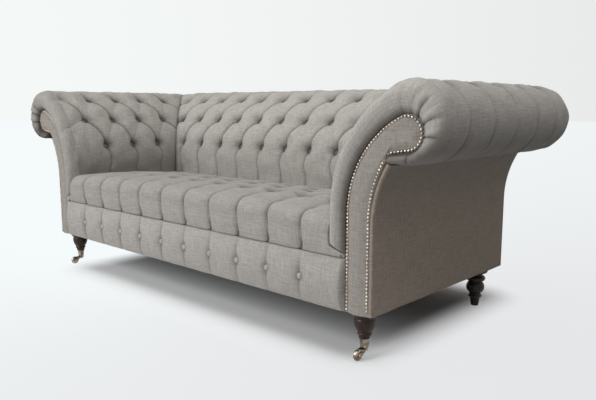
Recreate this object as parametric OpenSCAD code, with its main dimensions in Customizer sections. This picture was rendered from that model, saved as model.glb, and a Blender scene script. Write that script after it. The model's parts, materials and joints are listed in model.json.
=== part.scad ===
// Three-seat chesterfield sofa with deep-buttoned seat, back and arms, nailed scroll facings,
// turned legs and brass front castors. Millimetres, +Z up, front towards -Y.
// The origin is on the floor, midway across the width and the depth.
// Left and right are as seen from the front.

/* [Seat and body] */
// Width between the padded arms at seat level
seat_w = 1484; // [1000:1:2000]
// Depth from the facing plane to the padded back
seat_d = 545; // [500:1:620]
// Thickness of the whole back at its base
back_t = 255; // [245:1:285]
// Height of the underside of the body above the floor
base_z = 147; // [140:1:170]
// Height of the seam between border and seat
seam_z = 300; // [290:1:320]
// Height of the crown of the seat
seat_z = 445; // [435:1:470]
// Height of the seat where it meets arms and back
seat_edge_z = 420; // [415:1:430]

/* [Arm and back profile] */
// Height at which the padded faces begin to curve outward
curve_z = 440; // [425:1:460]
// Radius of the padded curve
curve_r = 391; // [370:1:410]
// Angle of the padded curve up to the roll
curve_a = 60.6; // [58:0.1:63]
// Radius of the padded roll
roll_r = 110; // [104:1:118]
// How far the roll runs back under itself to the outside panel
tuck_w = 57; // [50:1:62]
// Thickness of the whole arm at its base
arm_t = 146; // [144:1:152]
// Radius of the hollow curve of the outside arm panel
panel_r = 325; // [310:1:330]
// Height at which the outside arm panel begins to flare
panel_z = 400; // [390:1:405]
// How far the padded front edge stands out past the facing
front_bulge = 28; // [20:1:34]

/* [Facing] */
// Distance from the padded face to the inner nail line
nail_in = 61; // [58:1:64]
// Height at which the inner nail line begins to curve
nail_z = 430; // [424:1:436]
// How much smaller the radius of the inner nail line is than that of the padded curve
nail_step = 96; // [89:1:103]
// Angle of the inner nail line up to the scroll
nail_a = 64.2; // [62:0.1:66]
// Radius of the nail line round the scroll
scroll_r = 44; // [40:1:48]
// Distance between the two upright nail lines
nail_gap = 70; // [64:1:72]
// Spacing of the nails along their line
nail_pitch = 10.5; // [10:0.1:16]
// Diameter of a nail head
nail_d = 9; // [6:0.5:9.5]
// Height of a nail head
nail_h = 2.4; // [1.5:0.1:3]
// Margin of the facing board outside the nail line
board_margin = 5.5; // [5:0.1:6]
// Thickness of the facing board
board_t = 25; // [18:1:30]

/* [Tufting] */
// Spacing of the buttons along a row
tuft_pitch = 141; // [110:1:180]
// Spacing of the rows along the padded profile
row_pitch = 133; // [125:1:136]
// Distance along the profile from the start of the curve to the first row
first_row = 108.6; // [100:0.1:115]
// Depth of the cloth at a button
tuft_depth = 30; // [20:1:32]
// Depth of the cloth along a pleat
pleat_depth = 12; // [6:1:16]
// Thickness of a tufted cover with its wadding
cover_t = 40; // [40:1:44]
// Diameter of a covered button
button_d = 22; // [16:1:26]
// Distance from the last row of the seat to the padded back
seat_last = 26; // [20:1:40]
// Distance from the facing plane to the first row of the seat
seat_first = 156; // [150:1:165]

/* [Frame] */
// Thickness of the rails
rail_t = 28; // [22:1:30]
// Height of the rails
rail_h = 112; // [90:1:118]
// Height of the front rail
front_rail_h = 145; // [130:1:148]
// Thickness of the outside panels with their wadding
panel_t = 8; // [5:1:9]
// Number of serpentine springs
springs = 9; // [5:1:11]
// Diameter of the spring wire
wire_d = 3.5; // [3:0.1:4]

/* [Legs and castors] */
// Distance of the leg axes in from the outer face of the base
leg_in_x = 63; // [60:1:66]
// Distance of the front leg axes behind the facing plane
front_leg_y = 56; // [54:1:70]
// Distance of the rear leg axes in front of the outside back
rear_leg_y = 71; // [66:1:80]
// Radius of a leg at its top
leg_r = 43; // [38:1:46]
// Diameter of a castor wheel
wheel_d = 33; // [30:1:34]
// Width of a castor wheel
wheel_w = 14; // [12:1:16]
// Distance of the wheel axle in front of the swivel axis
castor_trail = 31; // [30:1:34]
// Diameter of the swivel pin
swivel_d = 8; // [6:0.5:9]
// Diameter of the wheel axle
axle_d = 5; // [4:0.5:6]

/* [Fits] */
// Gap between pieces that lie against each other
gap = 0.3; // [0.2:0.05:0.4]
// Radial running clearance of castor pin and axle
run_gap = 0.08; // [0.05:0.01:0.1]

/* [Hidden] */
$fn = 48;

cloth = [0.56, 0.53, 0.50];
beech = [0.80, 0.66, 0.46];
walnut = [0.13, 0.08, 0.06];
brass = [0.62, 0.52, 0.34];
foam = [0.93, 0.90, 0.78];
hessian = [0.70, 0.60, 0.42];
steel = [0.55, 0.56, 0.58];

// Profile of the padded arms and back: out is the distance from the padded face at seat level.
roll_out = curve_r - (curve_r - roll_r) * cos(curve_a);
roll_z = curve_z + (curve_r - roll_r) * sin(curve_a);
curve_len = curve_r * curve_a * PI / 180;
roll_len = roll_r * (270 - curve_a) * PI / 180;
profile_end = curve_len + roll_len + tuck_w;
reach = roll_out + roll_r;
corner_r = 45;
corner_out = roll_out - corner_r;
half_w = seat_w / 2;
facing_y = -(seat_d + reach - front_bulge) / 2;
back_y = facing_y + seat_d;
rear_y = back_y + back_t;
nail_r = curve_r - nail_step;
outer_x = half_w + arm_t;
under_gap = 4;
panel_end = asin(min(0.95, (roll_z - roll_r - under_gap - panel_z) / panel_r));
roll_under_t = 20;
facing_t = 4;
board_y = facing_y + facing_t;
board_back = board_y + board_t;
web_t = 3;
pad_margin = board_margin + 1.2;
chord_slack = 3;
corner_slack = 6;
foam_margin = pad_margin + chord_slack;
big = 3000;

// Angle of the outward normal at a distance along the profile, 0 where the face is upright.
function turn(l) = l < 0 ? 0 : l < curve_len ? l / curve_r * 180 / PI
    : min(270, curve_a + (l - curve_len) / roll_r * 180 / PI);
// Point of the profile [out, z] at a distance along it, sunk by a depth.
function sunk(l, depth) = let (a = turn(l))
    (l < curve_len ? [curve_r - curve_r * cos(a), curve_z + min(l, 0) + curve_r * sin(a)]
        : [roll_out - roll_r * cos(a) - max(0, l - curve_len - roll_len), roll_z + roll_r * sin(a)])
    + depth * [cos(a), -sin(a)];
// Thickness of the cover, thinner under the roll.
function cover_depth(l) = let (a = turn(l)) cover_t + (roll_under_t - cover_t) * max(0, a - 90) / 180;
// Inner outline of the padding, where it lies on board and webbing, at the same turn.
knee_pull = [0.84, 0.13];
function core(l, grow) = let (a = turn(l), r = scroll_r + grow,
        c = [nail_in + nail_r, nail_z] + (nail_r - scroll_r) * [-cos(nail_a), sin(nail_a)])
    l < 0 ? [nail_in - grow, seam_z + (nail_z - seam_z) * (curve_z + l - seam_z) / (curve_z - seam_z)]
    : a < nail_a ? [nail_in + nail_r - (nail_r + grow) * cos(a), nail_z + (nail_r + grow) * sin(a)]
    : c + r * [-cos(a), sin(a)] - max(0, l - curve_len - roll_len) * knee_pull;

// Depth of the tufted cloth at a place in pitches along, b in rows up from the first.
function near(x) = abs(x - round(x));
function tuft(a, b, rows) = let (p = a + b / 2, q = a - b / 2, c = abs(sin(180 * p) * sin(180 * q)),
        r = norm([near(p), near(q)]), up = abs(sin(180 * a + 90 * rows)))
    b < 0 ? pleat_depth * (1 - pow(abs(sin(180 * a)), 0.6))
    : b > rows + 0.01 ? pleat_depth * (1 - pow(up, 0.6)) * 0.8
    : pleat_depth * (1 - pow(c, 0.6)) + (tuft_depth - pleat_depth) * pow(max(0, 1 - r / 0.3), 2);

// Stations along the profile, on the rows and half way between them, closer round the roll.
arm_rows = 3;
bottom_l = seam_z + gap - curve_z;
under_steps = 7;
last_row = first_row + arm_rows * row_pitch;
stations = concat([bottom_l], [for (b = [-2:6]) first_row + b * row_pitch / 2],
    [for (k = [1:under_steps]) last_row + (profile_end - last_row) * k / under_steps]);

// Place [out, along] in plan: straight to the corner, then round it where the roll turns.
function plan(out, along, corner) = out <= corner_out || along <= corner + corner_out ? [out, along]
    : let (r = out - corner_out, a = (along - corner - corner_out) / r * 180 / PI)
        [corner_out + r * cos(a), corner + corner_out + r * sin(a)];
function plan_end(out, corner) = corner + min(out, corner_out) - gap / 2 + max(0, out - corner_out) * PI / 4;

// Closed skin between an outer grid of points and an inner one: rows run along, columns up the profile.
module skin(outer, inner, flip) {
    m = len(outer) - 1;
    k = len(inner) - 1;
    n = len(outer[0]) - 1;
    points = concat([for (r = outer) each r], [for (r = inner) each r]);
    base = (m + 1) * (n + 1);
    function o(i, j) = i * (n + 1) + j;
    function w(i, j) = base + i * (n + 1) + j;
    faces = concat(
        [for (i = [0:m - 1], j = [0:n - 1]) each
            [[o(i, j), o(i, j + 1), o(i + 1, j + 1)], [o(i, j), o(i + 1, j + 1), o(i + 1, j)]]],
        [for (i = [0:k - 1], j = [0:n - 1]) each
            [[w(i, j), w(i + 1, j + 1), w(i, j + 1)], [w(i, j), w(i + 1, j), w(i + 1, j + 1)]]],
        [for (j = [0:n - 1]) each [[o(0, j), w(0, j), w(0, j + 1)], [o(0, j), w(0, j + 1), o(0, j + 1)]]],
        [for (j = [0:n - 1]) each [[o(m, j), w(k, j + 1), w(k, j)], [o(m, j), o(m, j + 1), w(k, j + 1)]]],
        [for (i = [0:m - 1]) each [[w(0, 0), o(i, 0), o(i + 1, 0)], [w(0, n), o(i + 1, n), o(i, n)]]],
        [for (i = [0:k - 1]) each [[o(m, 0), w(i + 1, 0), w(i, 0)], [o(m, n), w(i, n), w(i + 1, n)]]]);
    polyhedron(points, [for (f = faces) flip ? [f[2], f[1], f[0]] : f]);
}

// Right arm cover, with its gathered front edge, from the facing to the mitre at the rear corner.
step = tuft_pitch / 4;
arm_first_in = 180;
arm_first = facing_y + arm_first_in;
arm_start = arm_first - 4 * step;
cap_in = 25;
cap_y = facing_y + cap_in;
cap_steps = 5;
cap_turn = 150;
crowd = 4;
crease = 10;
arm_cols = ceil((plan_end(reach, back_y) - arm_start) / step);
function arm_along(i, out) = min(arm_start + i * step, plan_end(out, back_y) - (arm_cols - i) * crowd);
function arm_point(i, l) = let (out = sunk(l, 0)[0], y = arm_along(i, out),
        depth = tuft((y - arm_first) / tuft_pitch, (l - first_row) / row_pitch, arm_rows)
            * (i == 0 ? 0.4 : 1),
        edge = i == arm_cols ? crease : 0, s = sunk(l, max(depth, edge)), g = plan(s[0],
            min(y, plan_end(s[0], back_y) - (arm_cols - i) * crowd), back_y)) [half_w + g[0], g[1], s[1]];
function arm_cap(k, l) = let (a = cap_turn * k / cap_steps, w = (1 - cos(a)) / (1 - cos(cap_turn)),
        p = sunk(l, 0) * (1 - w) + core(l, pad_margin + gap) * w)
    [half_w + p[0], cap_y - (cap_y - facing_y + front_bulge) * sin(a), p[1]];
function arm_inner(y, l) = let (s = sunk(l, cover_depth(l)), g = plan(s[0], y, back_y))
    [half_w + g[0], g[1], s[1]];
turn_steps = 3;
lining_step = 20;
function inner_ends(l, corner) = let (out = sunk(l, cover_depth(l))[0], end = plan_end(out, corner),
        bend = corner + min(out, corner_out) - gap / 2,
        ends = [bend - lining_step, bend, (bend + end) / 2, end])
    [for (k = [0:turn_steps]) min(ends[k], end - (turn_steps - k))];
cap_end = cap_y - (cap_y - facing_y + front_bulge) * sin(cap_turn);
module right_arm_skin() {
    outer = concat([for (k = [cap_steps:-1:1]) [for (l = stations) arm_cap(k, l)]],
        [for (i = [0:arm_cols]) [for (l = stations) arm_point(i, l)]]);
    inner = concat([[for (l = stations) arm_inner(cap_end, l)]],
        [for (k = [0:turn_steps]) [for (l = stations) arm_inner(inner_ends(l, back_y)[k], l)]]);
    skin(outer, inner, true);
}

// Back cover, mitred at both ends.
back_cols = ceil(plan_end(reach, half_w) / step);
function back_along(i, out) = sign(i)
    * min(abs(i) * step, plan_end(out, half_w) - (back_cols - abs(i)) * crowd);
function back_place(x, s) = let (g = plan(s[0], abs(x), half_w)) [sign(x) * g[1], back_y + g[0], s[1]];
function back_point(i, l) = let (x = back_along(i, sunk(l, 0)[0]),
        depth = tuft(x / tuft_pitch, (l - first_row) / row_pitch, arm_rows),
        s = sunk(l, max(depth, abs(i) == back_cols ? crease : 0)),
        most = plan_end(s[0], half_w) - (back_cols - abs(i)) * crowd)
    back_place(sign(x) * min(abs(x), most), s);
module back_skin() {
    outer = [for (i = [-back_cols:back_cols]) [for (l = stations) back_point(i, l)]];
    function ends(k, side) = [for (l = stations)
        back_place(side * inner_ends(l, half_w)[k], sunk(l, cover_depth(l)))];
    inner = concat([for (k = [turn_steps:-1:0]) ends(k, -1)], [for (k = [0:turn_steps]) ends(k, 1)]);
    skin(outer, inner, false);
}

// Seat cover: from the back over the top, round the front edge and down to the seam.
seat_in = 0.4;
seat_rows = 3;
edge_r = 48;
foam_top = 380;
foam_front = 15;
seat_front = facing_y - front_bulge + 5;
seat_row = (seat_d - seat_first - seat_last) / seat_rows;
seat_ys = concat([back_y - seat_in],
    [for (m = [2 * seat_rows:-1:0]) facing_y + seat_first + m * seat_row / 2],
    [facing_y + seat_first * 0.64, facing_y + seat_first * 0.3]);
function crown_z(x, y) = seat_edge_z + (seat_z - seat_edge_z)
    * (1 - pow(abs(x) / half_w, 4)) * (1 - pow((y - facing_y - seat_d * 0.4) / (seat_d * 0.62), 2));
function seat_top(x, y) = let (b = (y - facing_y - seat_first) / seat_row)
    [x, y, crown_z(x, y) - (b > seat_rows + 0.01 ? tuft(x / tuft_pitch, seat_rows, seat_rows)
        : tuft(x / tuft_pitch + 0.5, b, seat_rows))];
function seat_edge(x, a) = let (cut = pleat_depth * (1 - pow(abs(cos(180 * x / tuft_pitch)), 0.6)),
        z = crown_z(x, seat_front + edge_r), r = edge_r - cut)
    [x, seat_front + edge_r - r * cos(a), z - edge_r + r * sin(a)];
function seat_low(x, t) = let (p = seat_edge(x, 0))
    [x, p[1] + t * (facing_y - 4 - p[1]), p[2] + t * (seam_z + gap - p[2])];
seat_cols = floor((half_w - seat_in) / step);
seat_xs = [for (i = [-seat_cols - 1:seat_cols + 1])
    abs(i) > seat_cols ? sign(i) * (half_w - seat_in) : i * step * (abs(i) == seat_cols
        ? min(1, (half_w - seat_in - 1) / (seat_cols * step)) : 1)];
function seat_row_points(x) = concat([for (y = seat_ys) seat_top(x, y)],
    [for (a = [70, 40, 0]) seat_edge(x, a)], [for (t = [0.5, 1]) seat_low(x, t)]);
function seat_inner_points(x) = concat([for (y = seat_ys) [x, max(y, facing_y + foam_front), foam_top]],
    [for (d = [0, 10, 20]) [x, facing_y + foam_front, foam_top - d]],
    [for (z = [seam_z + 30, seam_z + gap]) [x, facing_y + foam_front, z]]);

// Front border: a shallow padded panel with a button on each seat pleat.
border_half = half_w + nail_in - board_margin - gap;
border_face = 8;
border_t = 14;
function border_point(x, t) = let (cut = pleat_depth * (1 - pow(abs(cos(180 * x / tuft_pitch)), 0.5)),
        swell = sin(180 * t), in = abs(x) > border_half - 1 ? 0 : 1)
    [x, facing_y - (border_face + (front_bulge - border_face - 5) * swell - cut * (0.4 + 0.6 * swell)) * in,
        base_z + (seam_z - gap - base_z) * t];
border_cols = floor(border_half / step);
border_xs = [for (i = [-border_cols - 1:border_cols + 1])
    abs(i) > border_cols ? sign(i) * border_half : i * step];

// Facing outline: inner edge up, round the scroll, back under it and down the outer edge.
scroll_c = core(profile_end - tuck_w, 0) + [0, scroll_r];
out_step = 53.5;
out_r = curve_r - out_step;
out_a = 30;
out_rise = 10;
out_c = [nail_in + nail_gap + out_r, panel_z + out_rise];
function outline(grow, low_z) = let (r = scroll_r + grow, ro = out_r - grow,
        top = out_c + ro * [-cos(out_a), sin(out_a)], under = scroll_c - [0, r],
        knee = [top[0] + 9, under[1] + (top[0] - under[0]) * 0.1])
    concat([[nail_in - grow, low_z]],
        [for (a = [0:nail_a / 8:nail_a - 0.1])
            [nail_in + nail_r, nail_z] + (nail_r + grow) * [-cos(a), sin(a)]],
        [for (a = [nail_a:12.86:270]) scroll_c + r * [-cos(a), sin(a)]],
        [for (t = [0:0.25:1]) pow(1 - t, 2) * (knee + [14, 0]) + 2 * t * (1 - t) * knee + t * t * top],
        [for (a = [out_a - 5:-5:0]) out_c + ro * [-cos(a), sin(a)]],
        [[nail_in + nail_gap + grow, low_z]]);

// A solid that stands in the right arm: a flat [out, z] shape carried from y0 to y1.
module along_arm(y0, y1) {
    translate([half_w, y1, 0]) rotate([90, 0, 0]) linear_extrude(y1 - y0) children();
}
// The same shape in the back, from x0 to x1.
module along_back(x0, x1) {
    translate([x0, back_y, 0]) rotate([90, 0, 90]) linear_extrude(x1 - x0) children();
}
module other_side() {
    mirror([1, 0, 0]) children();
}
module both_sides() {
    children();
    other_side() children();
}
module box(x0, x1, y0, y1, z0, z1) {
    translate([x0, y0, z0]) cube([x1 - x0, y1 - y0, z1 - z0]);
}

// Foam and webbing follow the profile between the cover and the frame. Foam stops under the roll.
foam_stations = [for (l = stations) if (l < curve_len + roll_len) l];
function foam_outer(slack) = [for (l = foam_stations) sunk(l, cover_depth(l) + gap + slack)];
function foam_inner() = [for (l = foam_stations) core(l, foam_margin)];
function reversed(v) = [for (i = [len(v) - 1:-1:0]) v[i]];
module foam_shape(slack = 0) {
    polygon(concat(foam_outer(slack), reversed(foam_inner())));
}
function web_line(grow) = [for (l = stations) if (turn(l) < 200) core(l, grow)];
module web_shape() {
    polygon(concat(web_line(pad_margin), reversed(web_line(pad_margin - web_t))));
}
// Everything behind the mitre of the rear corner, in plan: [out, along].
module mitre_plan(corner) {
    polygon([[-1, corner - 1 - gap], [corner_out, corner + corner_out - gap],
        [big, corner + corner_out - gap], [big, big], [-1, big]]);
}
module arm_padding() {
    difference() {
        along_arm(facing_y + gap, back_y + big / 2) children();
        translate([half_w, 0, 0]) linear_extrude(big) mitre_plan(back_y);
    }
}
module back_padding() {
    difference() {
        along_back(-half_w - big / 2, half_w + big / 2) children();
        both_sides() translate([0, back_y, 0]) linear_extrude(big)
            mirror([1, -1, 0]) mitre_plan(half_w);
    }
}
module round_corner() {
    both_sides() translate([half_w + corner_out, back_y + corner_out, 0]) rotate_extrude(angle = 90)
        intersection() {
            translate([-corner_out, 0]) children();
            translate([gap, 0]) square([big, big]);
        }
}

module arm_foam() { color(foam) arm_padding() foam_shape(); }
module left_arm_foam() { other_side() arm_foam(); }
module right_arm_foam() { arm_foam(); }
module back_foam() { color(foam) back_padding() foam_shape(); }
module corner_foam() { color(foam) round_corner() foam_shape(corner_slack); }
module arm_webbing() {
    color(hessian) both_sides() difference() {
        along_arm(board_back + gap, back_y + big / 2) web_shape();
        translate([half_w, 0, 0]) linear_extrude(big) mitre_plan(back_y);
    }
}
module back_webbing() { color(hessian) back_padding() web_shape(); }

// Top rails: round timber in the scroll, with quarter turns at the rear corners.
top_rail_r = (scroll_r + pad_margin - web_t) * cos(row_pitch / 4 / roll_r * 180 / PI) - gap;
module top_rail_shape() {
    translate(scroll_c) circle(top_rail_r);
}
module arm_top_rails() {
    color(beech) both_sides() along_arm(board_back, back_y + corner_out) difference() {
        top_rail_shape();
        translate([-1, 0]) square([corner_out + 1 + gap, big]);
    }
}
module back_top_rail() {
    color(beech) along_back(-half_w - corner_out, half_w + corner_out) difference() {
        top_rail_shape();
        translate([-1, 0]) square([corner_out + 1 + gap, big]);
    }
}
module roll_corner_rails() { color(beech) round_corner() top_rail_shape(); }

// Frame of the base.
cambric_t = 3;
rail_z = base_z + cambric_t;
side_rail_x = outer_x - panel_t - gap;
module front_rail() {
    color(beech) box(-border_half, border_half, board_y, board_y + rail_t, rail_z, rail_z + front_rail_h);
}
rear_rail_y = rear_y - panel_t - gap;
module rear_rail() {
    color(beech) box(-side_rail_x, side_rail_x, rear_rail_y - rail_t, rear_rail_y, rail_z, rail_z + rail_h);
}
module side_rail() {
    color(beech) box(side_rail_x - rail_t, side_rail_x, board_back, rear_rail_y - rail_t,
        rail_z, rail_z + rail_h);
}
module left_side_rail() { other_side() side_rail(); }
module right_side_rail() { side_rail(); }
cross_h = 80;
module cross_rails() {
    color(beech) for (side = [-1, 1])
        box(side * seat_w / 6 - rail_t / 2, side * seat_w / 6 + rail_t / 2, board_y + rail_t,
            rear_rail_y - rail_t, rail_z, rail_z + cross_h);
}
leg_x = outer_x - leg_in_x;
front_axis_y = facing_y + front_leg_y;
rear_axis_y = rear_y - rear_leg_y;
block_h = 70;
bolt_d = 8;
bolt_up = 50;
block_in = 60;
module corner_block(y0, y1, axis_y) {
    difference() {
        box(leg_x - block_in, side_rail_x - rail_t, y0, y1, rail_z, rail_z + block_h);
        translate([leg_x, axis_y, rail_z - 1]) cylinder(d = bolt_d + 0.2, h = bolt_up + 2);
    }
}
module corner_blocks() {
    color(beech) both_sides() {
        corner_block(board_y + rail_t + gap, front_axis_y + 40, front_axis_y);
        corner_block(rear_axis_y - 40, rear_rail_y - rail_t, rear_axis_y);
    }
}
module facing_board() {
    color(beech) along_arm(board_y, board_back) polygon(outline(board_margin, rail_z + gap));
}
module left_facing_board() { other_side() facing_board(); }
module right_facing_board() { facing_board(); }

// Uprights of the arms and back stand on the rails and carry the top rails.
upright_t = 24;
upright_top = scroll_c[1] - top_rail_r;
module upright_shape(depth, low_z) {
    front = [for (l = stations) if (turn(l) < 66) core(l, pad_margin - web_t - gap)];
    difference() {
        polygon(concat([[front[0][0], low_z]], front, [[roll_out + 10, upright_top + 40],
            [roll_out - 10, upright_top + 2], [roll_out - tuck_w - 6, upright_top + 2],
            [depth + 18, upright_top - 24], [depth, panel_z], [depth, low_z]]));
        translate(scroll_c) circle(top_rail_r + gap);
    }
}
arm_upright_y = (board_back + back_y) / 2;
arm_back_edge = arm_t - panel_t - 3;
module arm_uprights() {
    color(beech) both_sides() along_arm(arm_upright_y, arm_upright_y + upright_t)
        upright_shape(arm_back_edge, rail_z + rail_h + gap);
}
module back_uprights() {
    color(beech) for (k = [-1, 0, 1])
        along_back(k * seat_w / 3.2 - upright_t / 2, k * seat_w / 3.2 + upright_t / 2)
            upright_shape(arm_back_edge, seam_z);
}
tack_h = 50;
tack_z = foam_top - 60;
tack_in = nail_in - board_margin + web_t + gap;
module arm_tack_rails() {
    color(beech) both_sides() difference() {
        along_arm(board_back, rear_rail_y - rail_t - gap) translate([tack_in, tack_z]) square([22, tack_h]);
        along_arm(arm_upright_y - gap, arm_upright_y + upright_t + gap)
            translate([tack_in - 1, tack_z - 1]) square([24, tack_h + 2]);
    }
}
module back_tack_rail() {
    color(beech) difference() {
        along_back(-half_w - tack_in + gap, half_w + tack_in - gap)
            translate([tack_in, tack_z]) square([22, tack_h]);
        for (k = [-1, 0, 1])
            along_back(k * seat_w / 3.2 - upright_t / 2 - gap, k * seat_w / 3.2 + upright_t / 2 + gap)
                translate([tack_in - 1, tack_z - 1]) square([24, tack_h + 2]);
    }
}
module rear_posts() {
    color(beech) both_sides() box(side_rail_x - 70, side_rail_x - 8, rear_rail_y - rail_t, rear_rail_y,
        rail_z + rail_h, roll_z - roll_r - under_gap);
}

// Serpentine springs run from the inner face of the front rail to the top of the rear rail.
spring_z = rail_z + rail_h + 2;
spring_y0 = board_y + rail_t + 6;
spring_y1 = rear_rail_y - rail_t + 6;
spring_wave = 24;
spring_turns = 12;
function wave(t, side) = let (a = 360 * spring_turns * t, dy = spring_y1 - spring_y0,
        slope = spring_wave * 2 * PI * spring_turns / dy * cos(a), n = norm([1, slope]))
    [spring_wave * sin(a) + side * wire_d / 2 / n, spring_y0 + dy * t - side * wire_d / 2 * slope / n];
wave_steps = 12 * spring_turns;
module seat_springs() {
    color(steel) for (i = [0:springs - 1])
        translate([half_w * (2 * (i + 0.5) / springs - 1), 0, spring_z]) linear_extrude(wire_d)
            polygon(concat([for (k = [0:wave_steps]) wave(k / wave_steps, 1)],
                [for (k = [wave_steps:-1:0]) wave(k / wave_steps, -1)]));
}
module spring_clips() {
    color(steel) for (i = [0:springs - 1], y = [spring_y0 - 6, spring_y1 - 8])
        translate([half_w * (2 * (i + 0.5) / springs - 1) - 9, y, spring_z - 2]) difference() {
            cube([18, 14, wire_d + 4]);
            translate([-1, 2, 2 - gap]) cube([20, 10, wire_d + 2 * gap]);
        }
}
hessian_z = spring_z + wire_d + 3;
hessian_t = 1.5;
module seat_hessian() {
    color(hessian) box(-half_w + gap, half_w - gap, board_y + rail_t + gap, back_y - 1,
        hessian_z, hessian_z + hessian_t);
}
module seat_foam() {
    color(foam) difference() {
        box(-half_w + seat_in, half_w - seat_in, facing_y + foam_front + gap, back_y - 1,
            hessian_z + hessian_t + gap, foam_top - gap);
        box(-big, big, -big, board_y + rail_t + gap, 0, rail_z + front_rail_h + gap);
    }
}

module seat_cover() {
    color(cloth) skin([for (x = seat_xs) seat_row_points(x)],
        [for (x = [seat_xs[0], seat_xs[len(seat_xs) - 1]]) seat_inner_points(x)], true);
}
border_ts = [0, 0.2, 0.5, 0.8, 1];
module border_cover() {
    color(cloth) skin([for (x = border_xs) [for (t = border_ts) border_point(x, t)]],
        [for (x = [-border_half, border_half]) [for (t = border_ts)
            [x, board_y - gap, base_z + (seam_z - gap - base_z) * t]]], false);
}
module left_arm_cover() { color(cloth) other_side() right_arm_skin(); }
module right_arm_cover() { color(cloth) right_arm_skin(); }
module back_cover() { color(cloth) back_skin(); }

// Outside panels, with a narrow return on the front of the arm.
function panel_edge(t) = concat([[arm_t - t, base_z]],
    [for (a = [0:5:panel_end]) [arm_t + panel_r, panel_z] + (panel_r + t) * [-cos(a), sin(a)]],
    [[arm_t + panel_r, panel_z] + (panel_r + t) * [-cos(panel_end), sin(panel_end)]]);
return_w = arm_t - nail_in - nail_gap - board_margin - gap;
module outside_panel() {
    color(cloth) {
        along_arm(facing_y, rear_y - panel_t - gap)
            polygon(concat(panel_edge(0), reversed(panel_edge(panel_t))));
        along_arm(facing_y, board_y) polygon(concat(panel_edge(0), reversed(panel_edge(return_w))));
    }
}
module left_outside_panel() { other_side() outside_panel(); }
module right_outside_panel() { outside_panel(); }
module outside_back() {
    right = [for (p = panel_edge(0)) [half_w + p[0], p[1]]];
    color(cloth) translate([0, rear_y, 0]) rotate([90, 0, 0]) linear_extrude(panel_t)
        polygon(concat(right, [for (p = reversed(right)) [-p[0], p[1]]]));
}
module facing_panel() {
    color(cloth) along_arm(facing_y, board_y - gap) polygon(outline(board_margin, base_z));
}
module left_facing_panel() { other_side() facing_panel(); }
module right_facing_panel() { facing_panel(); }
module dust_cover() {
    color([0.1, 0.1, 0.1]) difference() {
        box(-outer_x + panel_t + 1, outer_x - panel_t - 1, board_back, rear_y - panel_t - 1,
            base_z + 0.5, rail_z - gap);
        both_sides() for (y = [front_axis_y, rear_axis_y])
            translate([leg_x, y, 0]) cylinder(r = leg_r + 1, h = big);
    }
}

// Nails stand at equal steps along the outline.
nail_path = outline(0, base_z + nail_d / 2);
nail_seg = [for (i = [1:len(nail_path) - 1]) norm(nail_path[i] - nail_path[i - 1])];
function sums(v, i = 0, s = 0) = i == len(v) ? [s] : concat([s], sums(v, i + 1, s + v[i]));
nail_sums = sums(nail_seg);
nail_count = floor((nail_sums[len(nail_seg)] - 4) / nail_pitch);
module facing_nails() {
    color(brass) for (k = [0:nail_count - 1]) let (d = 4 + k * nail_pitch,
            s = lookup(d, [for (i = [0:len(nail_path) - 1]) [nail_sums[i], nail_path[i][0]]]),
            z = lookup(d, [for (i = [0:len(nail_path) - 1]) [nail_sums[i], nail_path[i][1]]]))
        translate([half_w + s, facing_y, z]) rotate([90, 0, 0])
            cylinder(d1 = nail_d, d2 = nail_d * 0.5, h = nail_h);
}
module left_facing_nails() { other_side() facing_nails(); }
module right_facing_nails() { facing_nails(); }

// A covered button: its shank reaches the bottom of the tuft.
shank_d = 5;
shank_h = 12.5;
rim_h = 3;
dome_h = 4;
button_seat = 0.8;
module button() {
    cylinder(d1 = 1, d2 = shank_d, h = shank_h);
    translate([0, 0, shank_h]) cylinder(d1 = shank_d, d2 = button_d, h = rim_h);
    translate([0, 0, shank_h + rim_h]) cylinder(d1 = button_d, d2 = button_d * 0.55, h = dome_h);
}
module profile_button(l) {
    p = sunk(l, tuft_depth - button_seat);
    translate([p[0], 0, p[1]]) rotate([0, turn(l) - 90, 0]) button();
}
edge_clear = 22;
module arm_buttons() {
    color(cloth) for (row = [0:arm_rows]) let (l = first_row + row * row_pitch, out = sunk(l, 0)[0],
            odd = row % 2 / 2, last = floor((plan_end(min(out, corner_out), back_y) - edge_clear - arm_first)
                / tuft_pitch + odd))
        for (k = [0:last]) translate([half_w, arm_first + (k - odd) * tuft_pitch, 0]) profile_button(l);
}
module left_arm_buttons() { other_side() arm_buttons(); }
module right_arm_buttons() { arm_buttons(); }
module back_buttons() {
    color(cloth) for (row = [0:arm_rows]) let (l = first_row + row * row_pitch, out = sunk(l, 0)[0],
            odd = row % 2 / 2,
            last = floor((plan_end(min(out, corner_out), half_w) - edge_clear) / tuft_pitch - odd))
        for (k = [-last - 2 * odd:last]) translate([(k + odd) * tuft_pitch, back_y, 0])
            rotate([0, 0, 90]) profile_button(l);
}
module seat_buttons() {
    color(cloth) for (row = [0:seat_rows]) let (y = facing_y + seat_first + row * seat_row,
            odd = (row + 1) % 2 / 2, last = floor((half_w - edge_clear) / tuft_pitch - odd))
        for (k = [-last - 2 * odd:last]) let (x = (k + odd) * tuft_pitch)
            translate([x, y, crown_z(x, y) - tuft_depth + button_seat]) button();
}
button_t = 0.5;
module border_buttons() {
    last = floor((half_w - edge_clear) / tuft_pitch - 0.5);
    color(cloth) for (k = [-last - 1:last]) let (p = border_point((k + 0.5) * tuft_pitch, button_t))
        translate([p[0], p[1] - button_seat, p[2]]) rotate([90, 0, 0]) button();
}

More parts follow.
